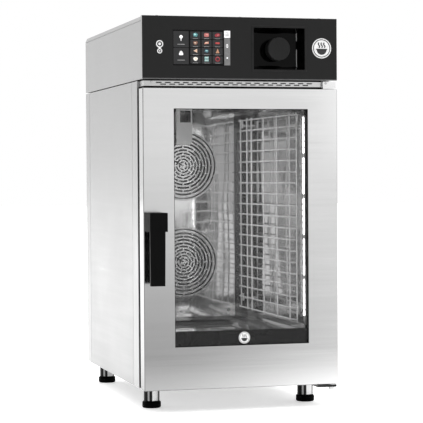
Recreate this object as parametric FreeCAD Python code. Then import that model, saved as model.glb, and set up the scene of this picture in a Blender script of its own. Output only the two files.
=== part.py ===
import FreeCAD, Part

import math
import os

# Slim ten-level combi steamer oven with a glazed side-hung door.
# Millimetres, +Z up, +X to the right of a person facing the door.
# Every piece is drawn with Y measured back from the door's front face and Z up from the floor.
# SHIFT then moves it to the frame whose origin is the middle of the footprint.

V = FreeCAD.Vector
X_AXIS, Y_AXIS, Z_AXIS = V(1, 0, 0), V(0, 1, 0), V(0, 0, 1)

# ---- Driving dimensions -------------------------------------------------------------------
WIDTH = 519.0
HALF = WIDTH / 2
BODY_DEPTH = 738.0        # door face to rear panel
HANDLE_REACH = 65.0       # handle stands this far in front of the door
FITTING_REACH = 30.0      # drain and water stubs stand this far behind the rear panel
TOP = 1009.0              # roof
HOUSING_BOTTOM = 849.0    # lower edge of the control panel and its housing
BODY_TOP = 846.4          # an open joint is left under the control housing
BODY_BOTTOM = 60.0
DOOR_TOP = 826.5
DOOR_BOTTOM = 58.5
DOOR_THICK = 41.0
DOOR_FOLD = 2.0           # outside radius of the door skin's folds
FRAME_FACE = 62.0         # front face of the cabinet behind the door
SHEET = 1.2               # sheet steel
SEAM = 0.8                # open seam between neighbouring panels
SIDE_SEAM = 1.8           # open joint at both ends of a side panel
CLEAR = 0.05              # running clearance of a shaft in its bush, on the radius
SHIFT = V(0, HANDLE_REACH - (BODY_DEPTH + FITTING_REACH + HANDLE_REACH) / 2, 0)

# Cabinet
FRAME_END = 122.4         # the front frame's side returns stop here
REAR_POST_START = 684.6   # the rear panel's side returns start here
PANEL_FOLD = 12.0
LID_EDGE = 12.0           # height of the lid's bevelled edge
LID_BEVEL = 5.0
LID_FRONT = 18.0
FOOT_X = 211.0
FOOT_Y = (130.0, 697.0)
FRAME_FOOT = 79.0         # the front frame's underside stops here and the base pan takes over

# Door window
WINDOW_HALF = 179.0
WINDOW_Z = (167.5, 774.5)
GLASS_LAP = 9.0
PRINT_TOP = 207.0         # top of the black printed band on the outer glass
GLASS_FRONT = 2.2
GLASS_THICK = 5.0
INNER_GLASS = (36.2, 40.2)
JAMB_GAP = 1.0            # the jamb stands back from the skin's window edge
LED_Z = (212.0, 760.0)

# Hinge, handle and latch
HINGE_X = 246.0
HINGE_Y = 14.0
PIN_R = 5.0
BRACKET_X = (222.0, 257.0)
BRACKET_THICK = 3.0
HANDLE_X = -234.75
HANDLE_Z = 487.75
HUB_HALF = (22.75, 23.75)
LEVER_HALF = 19.5
LEVER_BOTTOM = 328.5
LEVER_THICK = 12.0
SPINDLE_R = 6.0

# Cavity
CAVITY_HALF = 198.0
CAVITY_Z = (180.0, 799.0)
CAVITY_BACK = 648.0
COVE = 16.0               # radius of the cavity's long corners
DISH_X = 147.0            # half width of the floor's shallow dish
DISH_Y = (100.0, 628.0)
DISH_DEPTH = 8.0
DISH_SLOPE = 28.0         # width of the dish's sloping border
DISH_FLOOR = CAVITY_Z[0] - DISH_DEPTH
BAFFLE_Y = 606.0
BAFFLE_HALF = 155.0
BAFFLE_Z = (192.0, 789.0)
FAN_Z = (633.5, 353.0)
GUARD_R = 102.0
MOUTH_R = 98.5            # opening in the baffle behind a guard
GUARD_Y = 602.0
GUARD_BEAD = (87.6, 92.4)    # raised ring between the two outer rows
RIB = 3.8                 # solid rib between two slots of one ring
# Rings of curved slots in a guard: (radius, width, number of slots).
# Every second ring is turned by half a slot.
GUARD_SLOTS = (
    (10.6, 4.0, 5), (19.0, 4.2, 5), (27.6, 4.4, 10), (36.4, 4.6, 10), (45.5, 4.8, 10),
    (54.8, 4.8, 10), (64.8, 4.8, 10), (74.2, 5.0, 10), (84.0, 5.0, 10), (95.4, 3.4, 10),
)
WHEEL_R = 85.0
COIL_R = 112.0
COIL_WIRE_R = 3.6
LEAD_X = 12.0

# Racks
RUNG_X = 160.0
RUNG_R = 2.2
END_POST_X = 172.0
END_POST_Y = (74.0, 594.0)
MID_POST_Y = (111.0, 222.0, 344.0, 460.0, 505.0)
RUNG_TOP = 763.0
RUNG_PITCH = 30.0
RUNG_COUNT = 19
STUD_Z = (245.0, 750.0)
STUD_R = 4.0

# Control panel
PANEL_THICK = 3.0
FOOT_BEVEL = 2.4          # height of the bevel along the fascia's lower edge
DISPLAY_X = (-179.5, -28.5)
DISPLAY_Z = (884.0, 974.0)
RECESS_X = (28.0, 177.0)
RECESS_Z = (870.0, 988.6)
RECESS_RIM = 5.5
RECESS_DEPTH = 38.0
RECESS_TAPER = 10.0
RECESS_ROUND = 3.5        # inside corner between the recess's walls and floor
KNOB_X = 102.5
KNOB_Z = 929.3
KNOB_R = 29.5
KNOB_Y = (0.4, 30.0)
SHAFT_R = 3.0

# Vent strip between the fascia and the door
VENT_STRIP_X = (-HALF + 6, BRACKET_X[0] - 0.3)
VENT_STRIP_Z = (832.2, 845.2)
VENT_STRIP_Y = 14.0
VENT_SLOT = (14.8, 3.0)      # length, height
VENT_ROWS = ((-214.1, 188.2, 18, 840.9), (-202.6, 177.4, 17, 836.5))   # first x, last x, slots, z

# Services
VENT_PIPE = (115.0, 560.0)   # x, y of the cavity vent
VENT_R = 25.0
VENT_RISE = 20.0             # vent pipe above the roof
SPIGOT_R = 27.5              # thicker collar above the roof
FLAP_Z = 930.0
DRAIN_HOLE = (0.0, 330.0)    # x, y of the drain in the cavity's dish
DRAIN_Z = 100.0
DRAIN_R = 16.0
STUB_R = 20.0                # drain stub behind the rear panel
DRAIN_X = 60.0
WATER_X = 190.0
WATER_R = 13.2               # outside of the three-quarter-inch thread
GLAND = (-190.0, 120.0)      # x, z of the supply cable gland
COOLER = (-120.0, 920.0)     # x, z of the electronics cooling fan


# ---- Helpers --------------------------------------------------------------------------------
def box(x, y, z):
    """A block from three (low, high) pairs."""
    return Part.makeBox(x[1] - x[0], y[1] - y[0], z[1] - z[0], V(x[0], y[0], z[0]))


def rod(radius, start, end):
    """A round bar between two points."""
    a, b = V(*start), V(*end)
    return Part.makeCylinder(radius, (b - a).Length, a, b - a)


def tube(outer, inner, start, end):
    return rod(outer, start, end).cut(rod(inner, start, end))


def tray(x, y, z, wall, opens):
    """A folded sheet box with one side left open, such as '+y'."""
    spans = {"x": list(x), "y": list(y), "z": list(z)}
    inner = {k: [s[0] + wall, s[1] - wall] for k, s in spans.items()}
    end = 1 if opens[0] == "+" else 0
    reach = 1.0 if end else -1.0
    inner[opens[1]][end] = spans[opens[1]][end] + reach
    return box(x, y, z).cut(box(inner["x"], inner["y"], inner["z"]))


def frame(x, z, border, y):
    """A flat rectangular ring standing in the XZ plane, with the border measured inwards."""
    inside = box((x[0] + border, x[1] - border), (y[0] - 1, y[1] + 1), (z[0] + border, z[1] - border))
    return box(x, y, z).cut(inside)


def round_edges(shape, radius, axis, count=None):
    """Fillets the straight edges that run along one axis."""
    chosen = []
    for edge in shape.Edges:
        if edge.Curve.TypeId != "Part::GeomLine":
            continue
        if abs(edge.tangentAt(edge.FirstParameter).dot(axis)) > 0.999:
            chosen.append(edge)
    return shape.makeFillet(radius, chosen[:count])


def bevel_all(shape, size):
    return shape.makeChamfer(size, shape.Edges)


def slots(xs, zs, length, height, y):
    """Horizontal slots at every x and z."""
    half, rise = length / 2, height / 2
    return [box((x - half, x + half), y, (z - rise, z + rise)) for x in xs for z in zs]


def spread(start, end, count):
    step = (end - start) / (count - 1)
    return [start + step * i for i in range(count)]


def mirrored(shape):
    return shape.mirror(V(0, 0, 0), X_AXIS)


def group(shapes):
    return Part.makeCompound(shapes)


def pan_head(radius, height, at, axis):
    """A screw head with a cross-shaped drive."""
    head = Part.makeCylinder(radius, height, at, axis)
    head = head.makeFillet(height * 0.45, [e for e in head.Edges if _on_far_rim(e, at, axis, height)])
    drive = Part.makeCylinder(radius * 0.35, height, at + axis * (height * 0.55), axis)
    return head.cut(drive)


def _on_far_rim(edge, at, axis, height):
    middle = edge.BoundBox.Center
    return abs((middle - at).dot(axis) - height) < 0.01 and len(edge.Vertexes) == 1


# ---- Cabinet --------------------------------------------------------------------------------
def base_pan():
    """Folded tray under the whole body; the legs bolt to it."""
    end = BODY_DEPTH - SHEET - SEAM
    pan = tray((-246.5, 246.5), (FRAME_FOOT + SEAM, end), (BODY_BOTTOM, 80), 1.5, "+z")
    air = [box((x - 4, x + 4), (300, 420), (BODY_BOTTOM - 1, BODY_BOTTOM + 3)) for x in spread(-150, 150, 13)]
    return pan.cut(air)


def leg_sleeves():
    legs = []
    for x in (-FOOT_X, FOOT_X):
        for y in FOOT_Y:
            sleeve = tube(21, 15.5, (x, y, 19), (x, y, BODY_BOTTOM - 4))
            flange = rod(25, (x, y, BODY_BOTTOM - 4), (x, y, BODY_BOTTOM - 0.1))
            legs.append(sleeve.fuse(flange))
    return group(legs)


def foot_pads():
    pads = []
    for x in (-FOOT_X, FOOT_X):
        for y in FOOT_Y:
            pad = rod(24.5, (x, y, 0), (x, y, 17))
            pad = pad.makeChamfer(2.5, [e for e in pad.Edges if len(e.Vertexes) == 1])
            stem = rod(15, (x, y, 17), (x, y, 52))
            pads.append(pad.fuse(stem))
    return group(pads)


def side_panel_left():
    span_y = (FRAME_END + SIDE_SEAM, REAR_POST_START - SIDE_SEAM)
    return tray((-HALF, -HALF + PANEL_FOLD), span_y, (BODY_BOTTOM, BODY_TOP), SHEET, "+x")


def front_frame():
    shell = tray((-HALF, HALF), (FRAME_FACE, FRAME_END), (BODY_BOTTOM, BODY_TOP), SHEET, "+y")
    mouth = box((-CAVITY_HALF, CAVITY_HALF), (FRAME_FACE - 1, FRAME_END), CAVITY_Z)
    inside = (-HALF + SHEET, HALF - SHEET)
    pan_room = box(inside, (FRAME_FOOT, FRAME_END + 1), (BODY_BOTTOM - 1, BODY_BOTTOM + 2))
    return shell.cut([mouth, pan_room])


def rear_panel():
    shell = tray((-HALF, HALF), (REAR_POST_START, BODY_DEPTH), (BODY_BOTTOM, BODY_TOP), SHEET, "-y")
    span = (BODY_DEPTH - 5, BODY_DEPTH + 1)
    holes = slots(spread(-150, 150, 6), spread(560, 760, 11), 40, 5, span)
    holes += slots(spread(-60, 120, 4), spread(190, 280, 6), 40, 5, span)
    holes.append(rod(DRAIN_R + 1, (DRAIN_X, 700, DRAIN_Z), (DRAIN_X, 760, DRAIN_Z)))
    holes.append(rod(14.2, (WATER_X, 700, DRAIN_Z), (WATER_X, 760, DRAIN_Z)))
    holes.append(rod(10.2, (GLAND[0], 700, GLAND[1]), (GLAND[0], 760, GLAND[1])))
    span_y = (REAR_POST_START - 1, BODY_DEPTH - SHEET)
    pan_room = box((-HALF + SHEET, HALF - SHEET), span_y, (BODY_BOTTOM - 1, BODY_BOTTOM + 2))
    return shell.cut(holes + [pan_room])


def control_housing():
    """Upper shell with the service floor: it carries the electronics above the cavity."""
    outer_y = (LID_FRONT, BODY_DEPTH)
    walls = tray((-HALF, HALF), outer_y, (HOUSING_BOTTOM, TOP - LID_EDGE - SEAM), SHEET, "+z")
    inside = (-HALF + SHEET, HALF - SHEET)
    front = box(inside, (LID_FRONT - 1, LID_FRONT + SHEET + 1), (HOUSING_BOTTOM + SHEET, TOP))
    vent = rod(VENT_R + 0.5, (*VENT_PIPE, 840), (*VENT_PIPE, 860))
    rows = spread(COOLER[1] - 45, COOLER[1] + 45, 10)
    cooler = slots((COOLER[0],), rows, 96, 4, (BODY_DEPTH - 5, BODY_DEPTH + 1))
    return walls.cut([front, vent] + cooler)


def _lid_section(grow):
    """Closed outline of the lid's cross-section in XZ, shrunk by grow."""
    half, top, foot = HALF - grow, TOP - grow, TOP - LID_EDGE
    corners = [(-half, foot), (-half, TOP - LID_EDGE + 2), (-half + LID_BEVEL, top), (half - LID_BEVEL, top),
               (half, TOP - LID_EDGE + 2), (half, foot), (-half, foot)]
    return Part.Face(Part.makePolygon([V(x, LID_FRONT, z) for x, z in corners]))


def top_lid():
    length = BODY_DEPTH - LID_FRONT
    outer = _lid_section(0).extrude(V(0, length, 0))
    inner = _lid_section(SHEET).extrude(V(0, length - SHEET, 0))
    vent = rod(VENT_R + 0.5, (*VENT_PIPE, TOP - 20), (*VENT_PIPE, TOP + 5))
    return outer.cut([inner, vent])


def panel_frame():
    """Folded steel carrier behind the black fascia."""
    shell = tray((-HALF, HALF), (PANEL_THICK, LID_FRONT - SEAM), (HOUSING_BOTTOM, TOP), SHEET, "+y")
    display = box((DISPLAY_X[0] - 2, DISPLAY_X[1] + 2), (0, 10), (DISPLAY_Z[0] - 2, DISPLAY_Z[1] + 2))
    recess = box((RECESS_X[0] + 2, RECESS_X[1] - 2), (0, 10), (RECESS_Z[0] + 2, RECESS_Z[1] - 2))
    return shell.cut([display, recess])


def control_panel():
    """Black fascia plate with a steep bevel along its foot."""
    plate = box((-HALF, HALF), (0, PANEL_THICK), (HOUSING_BOTTOM, TOP))
    plate = plate.makeChamfer(0.7, [e for e in plate.Edges if e.BoundBox.YMax < 0.01])
    low, high = HOUSING_BOTTOM - 1, HOUSING_BOTTOM + FOOT_BEVEL
    back = PANEL_THICK - 0.6
    corners = ((-1, low), (back, low), (back, HOUSING_BOTTOM), (0, high), (-1, high), (-1, low))
    outline = Part.makePolygon([V(-HALF - 1, y, z) for y, z in corners])
    wedge = Part.Face(outline).extrude(V(WIDTH + 2, 0, 0))
    plate = plate.cut(wedge)
    display_z = (DISPLAY_Z[0] - 0.3, DISPLAY_Z[1] + 0.3)
    display = box((DISPLAY_X[0] - 0.3, DISPLAY_X[1] + 0.3), (-1, 10), display_z)
    recess = box((RECESS_X[0] + 3, RECESS_X[1] - 3), (-1, 10), (RECESS_Z[0] + 3, RECESS_Z[1] - 3))
    return plate.cut([display, recess])


def display_lens():
    return box(DISPLAY_X, (0.25, 2.6), DISPLAY_Z)


def display_module():
    return box((DISPLAY_X[0] - 1, DISPLAY_X[1] + 1), (3.1, 13), (DISPLAY_Z[0] - 1, DISPLAY_Z[1] + 1))


def circuit_boards():
    control = box((DISPLAY_X[0] + 5, DISPLAY_X[1] - 5), (18, 19.6), (DISPLAY_Z[0], DISPLAY_Z[1] - 5))
    chips = [box((x, x + 14), (19.6, 22), (905, 919)) for x in (-150, -120, -80)]
    power = box((-150, 60), (180, 420), (862, 863.6))
    parts = [box((x, x + 30), (y, y + 26), (863.6, 895)) for x in (-140, -95, -50) for y in (200, 250, 300)]
    parts.append(rod(26, (20, 380, 863.6), (20, 380, 905)))
    posts = [rod(4, (x, y, HOUSING_BOTTOM + SHEET), (x, y, 862)) for x in (-140, 50) for y in (190, 410)]
    return group([control.fuse(chips), power.fuse(parts + posts)])


def _rect_wire(x, z, y):
    points = [(x[0], z[0]), (x[1], z[0]), (x[1], z[1]), (x[0], z[1]), (x[0], z[0])]
    return Part.makePolygon([V(a, y, b) for a, b in points])


def _taper_block(grow, y):
    """The recess's hollow, or with grow its outside: a block that narrows towards the back."""
    near = [(s[0] + RECESS_RIM - grow, s[1] - RECESS_RIM + grow) for s in (RECESS_X, RECESS_Z)]
    far = [(s[0] + RECESS_TAPER, s[1] - RECESS_TAPER) for s in near]
    return Part.makeLoft([_rect_wire(*near, y[0]), _rect_wire(*far, y[1])], True, True)


def knob_recess():
    """Moulded pocket around the selector knob, with a bevelled rim on the fascia."""
    rim = box(RECESS_X, (-1.2, -0.02), RECESS_Z)
    rim = rim.makeChamfer(1.0, [e for e in rim.Edges if e.BoundBox.YMax < -1.1])
    cup = _taper_block(1.8, (-0.02, RECESS_DEPTH + 2))
    hollow = _taper_block(0, (-1.3, RECESS_DEPTH))
    corners = [e for e in hollow.Edges if e.BoundBox.YMin > RECESS_DEPTH - 0.01]
    hollow = hollow.makeFillet(RECESS_ROUND, corners)
    hole = rod(5, (KNOB_X, 30, KNOB_Z), (KNOB_X, 45, KNOB_Z))
    return rim.fuse(cup).cut([hollow, hole])


def encoder_body():
    """Rotary selector with its threaded bush and nut, behind the recess floor."""
    front = RECESS_DEPTH + 2.2
    can = box((KNOB_X - 8, KNOB_X + 8), (front, front + 11), (KNOB_Z - 7, KNOB_Z + 7))
    bush = rod(4.6, (KNOB_X, 33, KNOB_Z), (KNOB_X, front, KNOB_Z))
    nut = Part.Face(Part.makePolygon([
        V(KNOB_X + 6.6 * math.cos(a), RECESS_DEPTH - 2.4, KNOB_Z + 6.6 * math.sin(a))
        for a in [math.pi / 3 * i for i in range(7)]
    ])).extrude(V(0, 2.3, 0))
    room = rod(5.5, (KNOB_X, front + 3, KNOB_Z), (KNOB_X, front + 9.5, KNOB_Z))
    bore = rod(SHAFT_R + CLEAR, (KNOB_X, 20, KNOB_Z), (KNOB_X, front + 3, KNOB_Z))
    return can.fuse([bush, nut]).cut([bore, room])


def encoder_plunger():
    front = RECESS_DEPTH + 2.2
    return rod(5, (KNOB_X, front + 5.2, KNOB_Z), (KNOB_X, front + 6.6, KNOB_Z))


def knob():
    body = rod(KNOB_R, (KNOB_X, KNOB_Y[0], KNOB_Z), (KNOB_X, KNOB_Y[1], KNOB_Z))
    front_rim = [e for e in body.Edges if e.BoundBox.YMax < KNOB_Y[0] + 0.1 and len(e.Vertexes) == 1]
    body = body.makeFillet(1.2, front_rim)
    hollow = rod(KNOB_R - 3, (KNOB_X, 8, KNOB_Z), (KNOB_X, KNOB_Y[1] + 1, KNOB_Z))
    boss = rod(7, (KNOB_X, 7, KNOB_Z), (KNOB_X, KNOB_Y[1] - 2, KNOB_Z))
    bore = rod(SHAFT_R + CLEAR, (KNOB_X, 12, KNOB_Z), (KNOB_X, KNOB_Y[1] + 1, KNOB_Z))
    return body.cut(hollow).fuse(boss).cut(bore)


def knob_shaft():
    return rod(SHAFT_R, (KNOB_X, 12.2, KNOB_Z), (KNOB_X, RECESS_DEPTH + 7.3, KNOB_Z))


def vent_grille():
    """Slotted strip that lets the cooling air out between the fascia and the door."""
    y, z, back = VENT_STRIP_Y, VENT_STRIP_Z, FRAME_FACE - 0.5
    strip = box(VENT_STRIP_X, (y, y + SHEET), z)
    ledge = box(VENT_STRIP_X, (y + SHEET, back), (z[0], z[0] + SHEET))
    end = box((VENT_STRIP_X[0], VENT_STRIP_X[0] + SHEET), (y + SHEET, back), z)
    rows = []
    for first, last, count, height in VENT_ROWS:
        rows += slots(spread(first, last, count), (height,), *VENT_SLOT, (y - 4, y + 4))
    return strip.fuse([ledge, end]).cut(rows)


# ---- Hinge side -----------------------------------------------------------------------------
def hinge_brackets():
    """Two plates that carry the door's pivot pins, each fixed to the cabinet's front."""
    low = DOOR_TOP + 0.9
    top = box(BRACKET_X, (4, FRAME_FACE - 0.2), (low, low + BRACKET_THICK))
    upstand = box(BRACKET_X, (4, 4 + BRACKET_THICK), (low, BODY_TOP - 1))
    lid = box(BRACKET_X, (4, 15), (BODY_TOP - 1 - BRACKET_THICK, BODY_TOP - 1))
    bottom = round_edges(box((205, 257), (4, 84), (50.5, 56)), 3, Z_AXIS)
    spacer = box((212, 252), (FRAME_FACE + 2, FRAME_FOOT - 1), (56, BODY_BOTTOM - 0.1))
    upper = top.fuse([upstand, lid]).cut(_pin_hole((low - 1, low + BRACKET_THICK + 1)))
    return group([upper, bottom.fuse(spacer).cut(_pin_hole((48, 58)))])


def _pin_hole(z, grow=0.02):
    return rod(PIN_R + grow, (HINGE_X, HINGE_Y, z[0]), (HINGE_X, HINGE_Y, z[1]))


def hinge_pins():
    top = rod(PIN_R, (HINGE_X, HINGE_Y, DOOR_TOP - 26), (HINGE_X, HINGE_Y, DOOR_TOP + 3.8))
    bottom = rod(PIN_R, (HINGE_X, HINGE_Y, 46), (HINGE_X, HINGE_Y, DOOR_BOTTOM + 26))
    head = rod(8, (HINGE_X, HINGE_Y, 44), (HINGE_X, HINGE_Y, 50.4))
    washer = tube(8, PIN_R + 0.02, (HINGE_X, HINGE_Y, 56.1), (HINGE_X, HINGE_Y, DOOR_BOTTOM - 0.2))
    return group([top, bottom.fuse(head), washer])


def door_bushes():
    bushes = []
    for z in ((DOOR_TOP - 24, DOOR_TOP - SHEET - 0.1), (DOOR_BOTTOM + SHEET + 0.1, DOOR_BOTTOM + 24)):
        bushes.append(tube(8, PIN_R + CLEAR, (HINGE_X, HINGE_Y, z[0]), (HINGE_X, HINGE_Y, z[1])))
    bushes.append(tube(10, SPINDLE_R + CLEAR, (HANDLE_X, SHEET + 0.1, HANDLE_Z), (HANDLE_X, 38.8, HANDLE_Z)))
    return group(bushes)


# ---- Door -----------------------------------------------------------------------------------
def _soft_front(block, front, radius):
    """A block whose four front edges and four edges along Y are rounded."""
    def rounds(edge):
        bounds = edge.BoundBox
        return bounds.YMax < front + 0.01 or bounds.YLength > 1.0
    return block.makeFillet(radius, [e for e in block.Edges if rounds(e)])


def door_skin():
    skin = _soft_front(box((-HALF, HALF), (0, DOOR_THICK), (DOOR_BOTTOM, DOOR_TOP)), 0, DOOR_FOLD)
    span_x, span_z = (-HALF + SHEET, HALF - SHEET), (DOOR_BOTTOM + SHEET, DOOR_TOP - SHEET)
    skin = skin.cut(_soft_front(box(span_x, (SHEET, DOOR_THICK + 1), span_z), SHEET, DOOR_FOLD - SHEET))
    window = box((-WINDOW_HALF, WINDOW_HALF), (-1, 5), WINDOW_Z)
    pins = [_pin_hole((z, z + 4), 0.6) for z in (DOOR_TOP - 3, DOOR_BOTTOM - 1)]
    spindle = rod(SPINDLE_R + 0.6, (HANDLE_X, -1, HANDLE_Z), (HANDLE_X, 5, HANDLE_Z))
    return skin.cut([window, spindle] + pins)


def _window_span(grow):
    return (-WINDOW_HALF - grow, WINDOW_HALF + grow), (WINDOW_Z[0] - grow, WINDOW_Z[1] + grow)


def door_inner_frame():
    """Flat steel liner that closes the door's back around the inner glass."""
    x, z = (-HALF + 2, HALF - 2), (DOOR_BOTTOM + 2, DOOR_TOP - 2)
    glass = _window_span(GLASS_LAP + 1)
    liner = box(x, (38.9, DOOR_THICK), z).cut(box(glass[0], (38, 45), glass[1]))
    outside = _window_span(GLASS_LAP + 6)
    ledge = box(*_three(outside, (34, 35.9)))
    ledge = ledge.cut(box(*_three(_window_span(JAMB_GAP + 2.4), (30, 40))))
    web = box(*_three(outside, (34, 38.9)))
    web = web.cut(box(*_three(_window_span(GLASS_LAP + 1), (30, 45))))
    spindle = rod(SPINDLE_R + 0.6, (HANDLE_X, 30, HANDLE_Z), (HANDLE_X, 45, HANDLE_Z))
    return liner.fuse([ledge, web]).cut(spindle)


def _three(span, y):
    """Reorders an (x, z) window span and a y pair for box()."""
    return span[0], y, span[1]


def outer_glass():
    pane = box(*_three(_window_span(GLASS_LAP), (GLASS_FRONT, GLASS_FRONT + GLASS_THICK)))
    return round_edges(pane, 6, Y_AXIS)


def glass_print_band():
    """Black enamel printed on the back of the outer glass, along its foot."""
    y = GLASS_FRONT + GLASS_THICK
    z = (WINDOW_Z[0] - GLASS_LAP + 1, PRINT_TOP)
    return box((-WINDOW_HALF - GLASS_LAP + 1, WINDOW_HALF + GLASS_LAP - 1), (y, y + 0.3), z)


def glass_seals():
    x, z = _window_span(GLASS_LAP)
    outer = frame(x, z, GLASS_LAP + 1.4, (SHEET + 0.02, GLASS_FRONT - 0.02))
    inner = frame(x, z, 3.0, (INNER_GLASS[0] - 0.28, INNER_GLASS[0] - 0.02))
    return group([outer, inner])


def inner_glass():
    pane = box(*_three(_window_span(GLASS_LAP), INNER_GLASS))
    return round_edges(pane, 6, Y_AXIS)


def window_jamb():
    """Black tunnel between the two panes."""
    near = GLASS_FRONT + GLASS_THICK + 0.32
    x, z = _window_span(JAMB_GAP + 2)
    return frame(x, z, 2.0, (near, 33.9))


def inner_glass_clips():
    """Turn-buttons that let the inner pane be released for cleaning."""
    clips = []
    for x in (-WINDOW_HALF - GLASS_LAP - 5, WINDOW_HALF + GLASS_LAP + 5):
        for z in (WINDOW_Z[0] + 60, WINDOW_Z[1] - 60):
            button = rod(5, (x, DOOR_THICK + 0.02, z), (x, DOOR_THICK + 1.0, z))
            inward = 10 if x < 0 else -10
            bar = box(sorted((x, x + inward)), (DOOR_THICK + 0.02, DOOR_THICK + 1.0), (z - 4, z + 4))
            clips.append(button.fuse(bar))
    return group(clips)


def led_bar():
    """Light bar in the hinge side of the door: an aluminium channel and its row of lenses."""
    wall = WINDOW_HALF + JAMB_GAP - 0.1
    channel = box((wall - 2.3, wall), (22, 33.5), LED_Z)
    lens = box((wall - 5.2, wall - 2.4), (24, 32), (LED_Z[0] + 2, LED_Z[1] - 2))
    return group([channel, lens])


def handle():
    """One moulding: a square hub on the spindle and the lever that hangs from it."""
    hub_x = (HANDLE_X - HUB_HALF[0], HANDLE_X + HUB_HALF[0])
    hub_z = (HANDLE_Z - HUB_HALF[1], HANDLE_Z + HUB_HALF[1])
    hub = bevel_all(box(hub_x, (-HANDLE_REACH, -0.4), hub_z), 0.8)
    left = hub_x[0] + 0.5
    face = Part.Face(Part.makePolygon([
        V(left, -HANDLE_REACH, hub_z[0] + 4), V(left + 0.6, -HANDLE_REACH, LEVER_BOTTOM),
        V(left + 2 * LEVER_HALF - 1.4, -HANDLE_REACH, LEVER_BOTTOM),
        V(left + 2 * LEVER_HALF, -HANDLE_REACH, hub_z[0] + 4),
        V(left, -HANDLE_REACH, hub_z[0] + 4),
    ]))
    lever = bevel_all(face.extrude(V(0, LEVER_THICK, 0)), 0.8)
    bore = rod(SPINDLE_R + 0.02, (HANDLE_X, -45, HANDLE_Z), (HANDLE_X, 1, HANDLE_Z))
    return hub.fuse(lever).cut(bore)


def handle_spindle():
    """Steel spindle through the door, with the latch tongue on its inner end."""
    spindle = rod(SPINDLE_R, (HANDLE_X, -44.5, HANDLE_Z), (HANDLE_X, 47, HANDLE_Z))
    tongue = box((HANDLE_X - 10, HANDLE_X + 10), (47, 54), (HANDLE_Z - 4, HANDLE_Z + 4))
    return spindle.fuse(round_edges(tongue, 3, Y_AXIS))


def strike_cup():
    """Socket on the front frame that the latch tongue enters and turns in."""
    cup = tube(13.4, 11.4, (HANDLE_X, 50, HANDLE_Z), (HANDLE_X, FRAME_FACE - 0.05, HANDLE_Z))
    floor = rod(13.4, (HANDLE_X, 59, HANDLE_Z), (HANDLE_X, FRAME_FACE - 0.05, HANDLE_Z))
    return cup.fuse(floor)


def door_gasket():
    """Silicone seal round the cavity mouth, black edge strip round the frame and the vent's two strips."""
    mouth_x = (-CAVITY_HALF - 16, CAVITY_HALF + 16)
    mouth_z = (CAVITY_Z[0] - 16, CAVITY_Z[1] + 16)
    base = frame(mouth_x, mouth_z, 15.0, (52, FRAME_FACE - 0.05))
    bulb = frame((mouth_x[0] + 3, mouth_x[1] - 3), (mouth_z[0] + 3, mouth_z[1] - 3), 8.0, (42.3, 52))
    edge = frame((-HALF + 2.2, HALF - 2.2), (BODY_BOTTOM + 1.5, DOOR_TOP - 2), 8.0, (50, FRAME_FACE - 0.05))
    deep = (VENT_STRIP_Y + 0.2, FRAME_FACE - 0.2)
    above = box(VENT_STRIP_X, deep, (VENT_STRIP_Z[1] + 0.2, HOUSING_BOTTOM - 0.1))
    below = box(VENT_STRIP_X, deep, (DOOR_TOP + 0.7, VENT_STRIP_Z[0] - 0.2))
    return group([base.fuse(bulb), edge, above, below])


# ---- Cavity ---------------------------------------------------------------------------------
def heater_leads():
    """(x, z) of every heater terminal, at the foot of its coil."""
    drop = math.sqrt(COIL_R ** 2 - LEAD_X ** 2)
    return [(x, z - drop) for z in FAN_Z for x in (-LEAD_X, LEAD_X)]


def _dish(grow, rise):
    """The dish's hollow, or its outside with grow. It narrows downwards and starts at rise above its rim."""
    wires = []
    for inset, z in ((0.0, CAVITY_Z[0]), (DISH_SLOPE, DISH_FLOOR - grow)):
        x, near, far = DISH_X - inset + grow, DISH_Y[0] + inset - grow, DISH_Y[1] - inset + grow
        corners = [V(-x, near, z), V(x, near, z), V(x, far, z), V(-x, far, z), V(-x, near, z)]
        wires.append(Part.makePolygon(corners))
    span_y = (DISH_Y[0] - grow, DISH_Y[1] + grow)
    lid = box((-DISH_X - grow, DISH_X + grow), span_y, (CAVITY_Z[0], CAVITY_Z[0] + rise))
    return Part.makeLoft(wires, True, True).fuse(lid)


def cavity_liner():
    """Welded steel liner, open at the front, with a floor that dishes towards the drain."""
    y = (FRAME_FACE + SHEET + 0.05, CAVITY_BACK + SHEET)
    outer_x = (-CAVITY_HALF - SHEET, CAVITY_HALF + SHEET)
    outer_z = (CAVITY_Z[0] - SHEET, CAVITY_Z[1] + SHEET)
    outer = round_edges(box(outer_x, y, outer_z), COVE + SHEET, Y_AXIS)
    hollow = round_edges(box((-CAVITY_HALF, CAVITY_HALF), (0, CAVITY_BACK), CAVITY_Z), COVE, Y_AXIS)
    holes = [rod(9, (0, 600, z), (0, 700, z)) for z in FAN_Z]
    holes += [rod(5, (x, 600, z), (x, 700, z)) for x, z in heater_leads()]
    holes.append(rod(22, (*DRAIN_HOLE, DISH_FLOOR - 10), (*DRAIN_HOLE, CAVITY_Z[0])))
    holes.append(rod(VENT_R - 2, (*VENT_PIPE, 780), (*VENT_PIPE, 820)))
    skirt = _dish(SHEET, 0.01)
    return outer.fuse(skirt).cut([hollow, _dish(0, 1.0)] + holes)


def air_baffle():
    """Panel in front of the fans: air is drawn in through the guards and leaves past its sides."""
    plate = tray((-BAFFLE_HALF, BAFFLE_HALF), (BAFFLE_Y, BAFFLE_Y + 16), BAFFLE_Z, SHEET, "+y")
    mouths = [rod(MOUTH_R, (0, BAFFLE_Y - 2, z), (0, BAFFLE_Y + 5, z)) for z in FAN_Z]
    return plate.cut(mouths)


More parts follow.
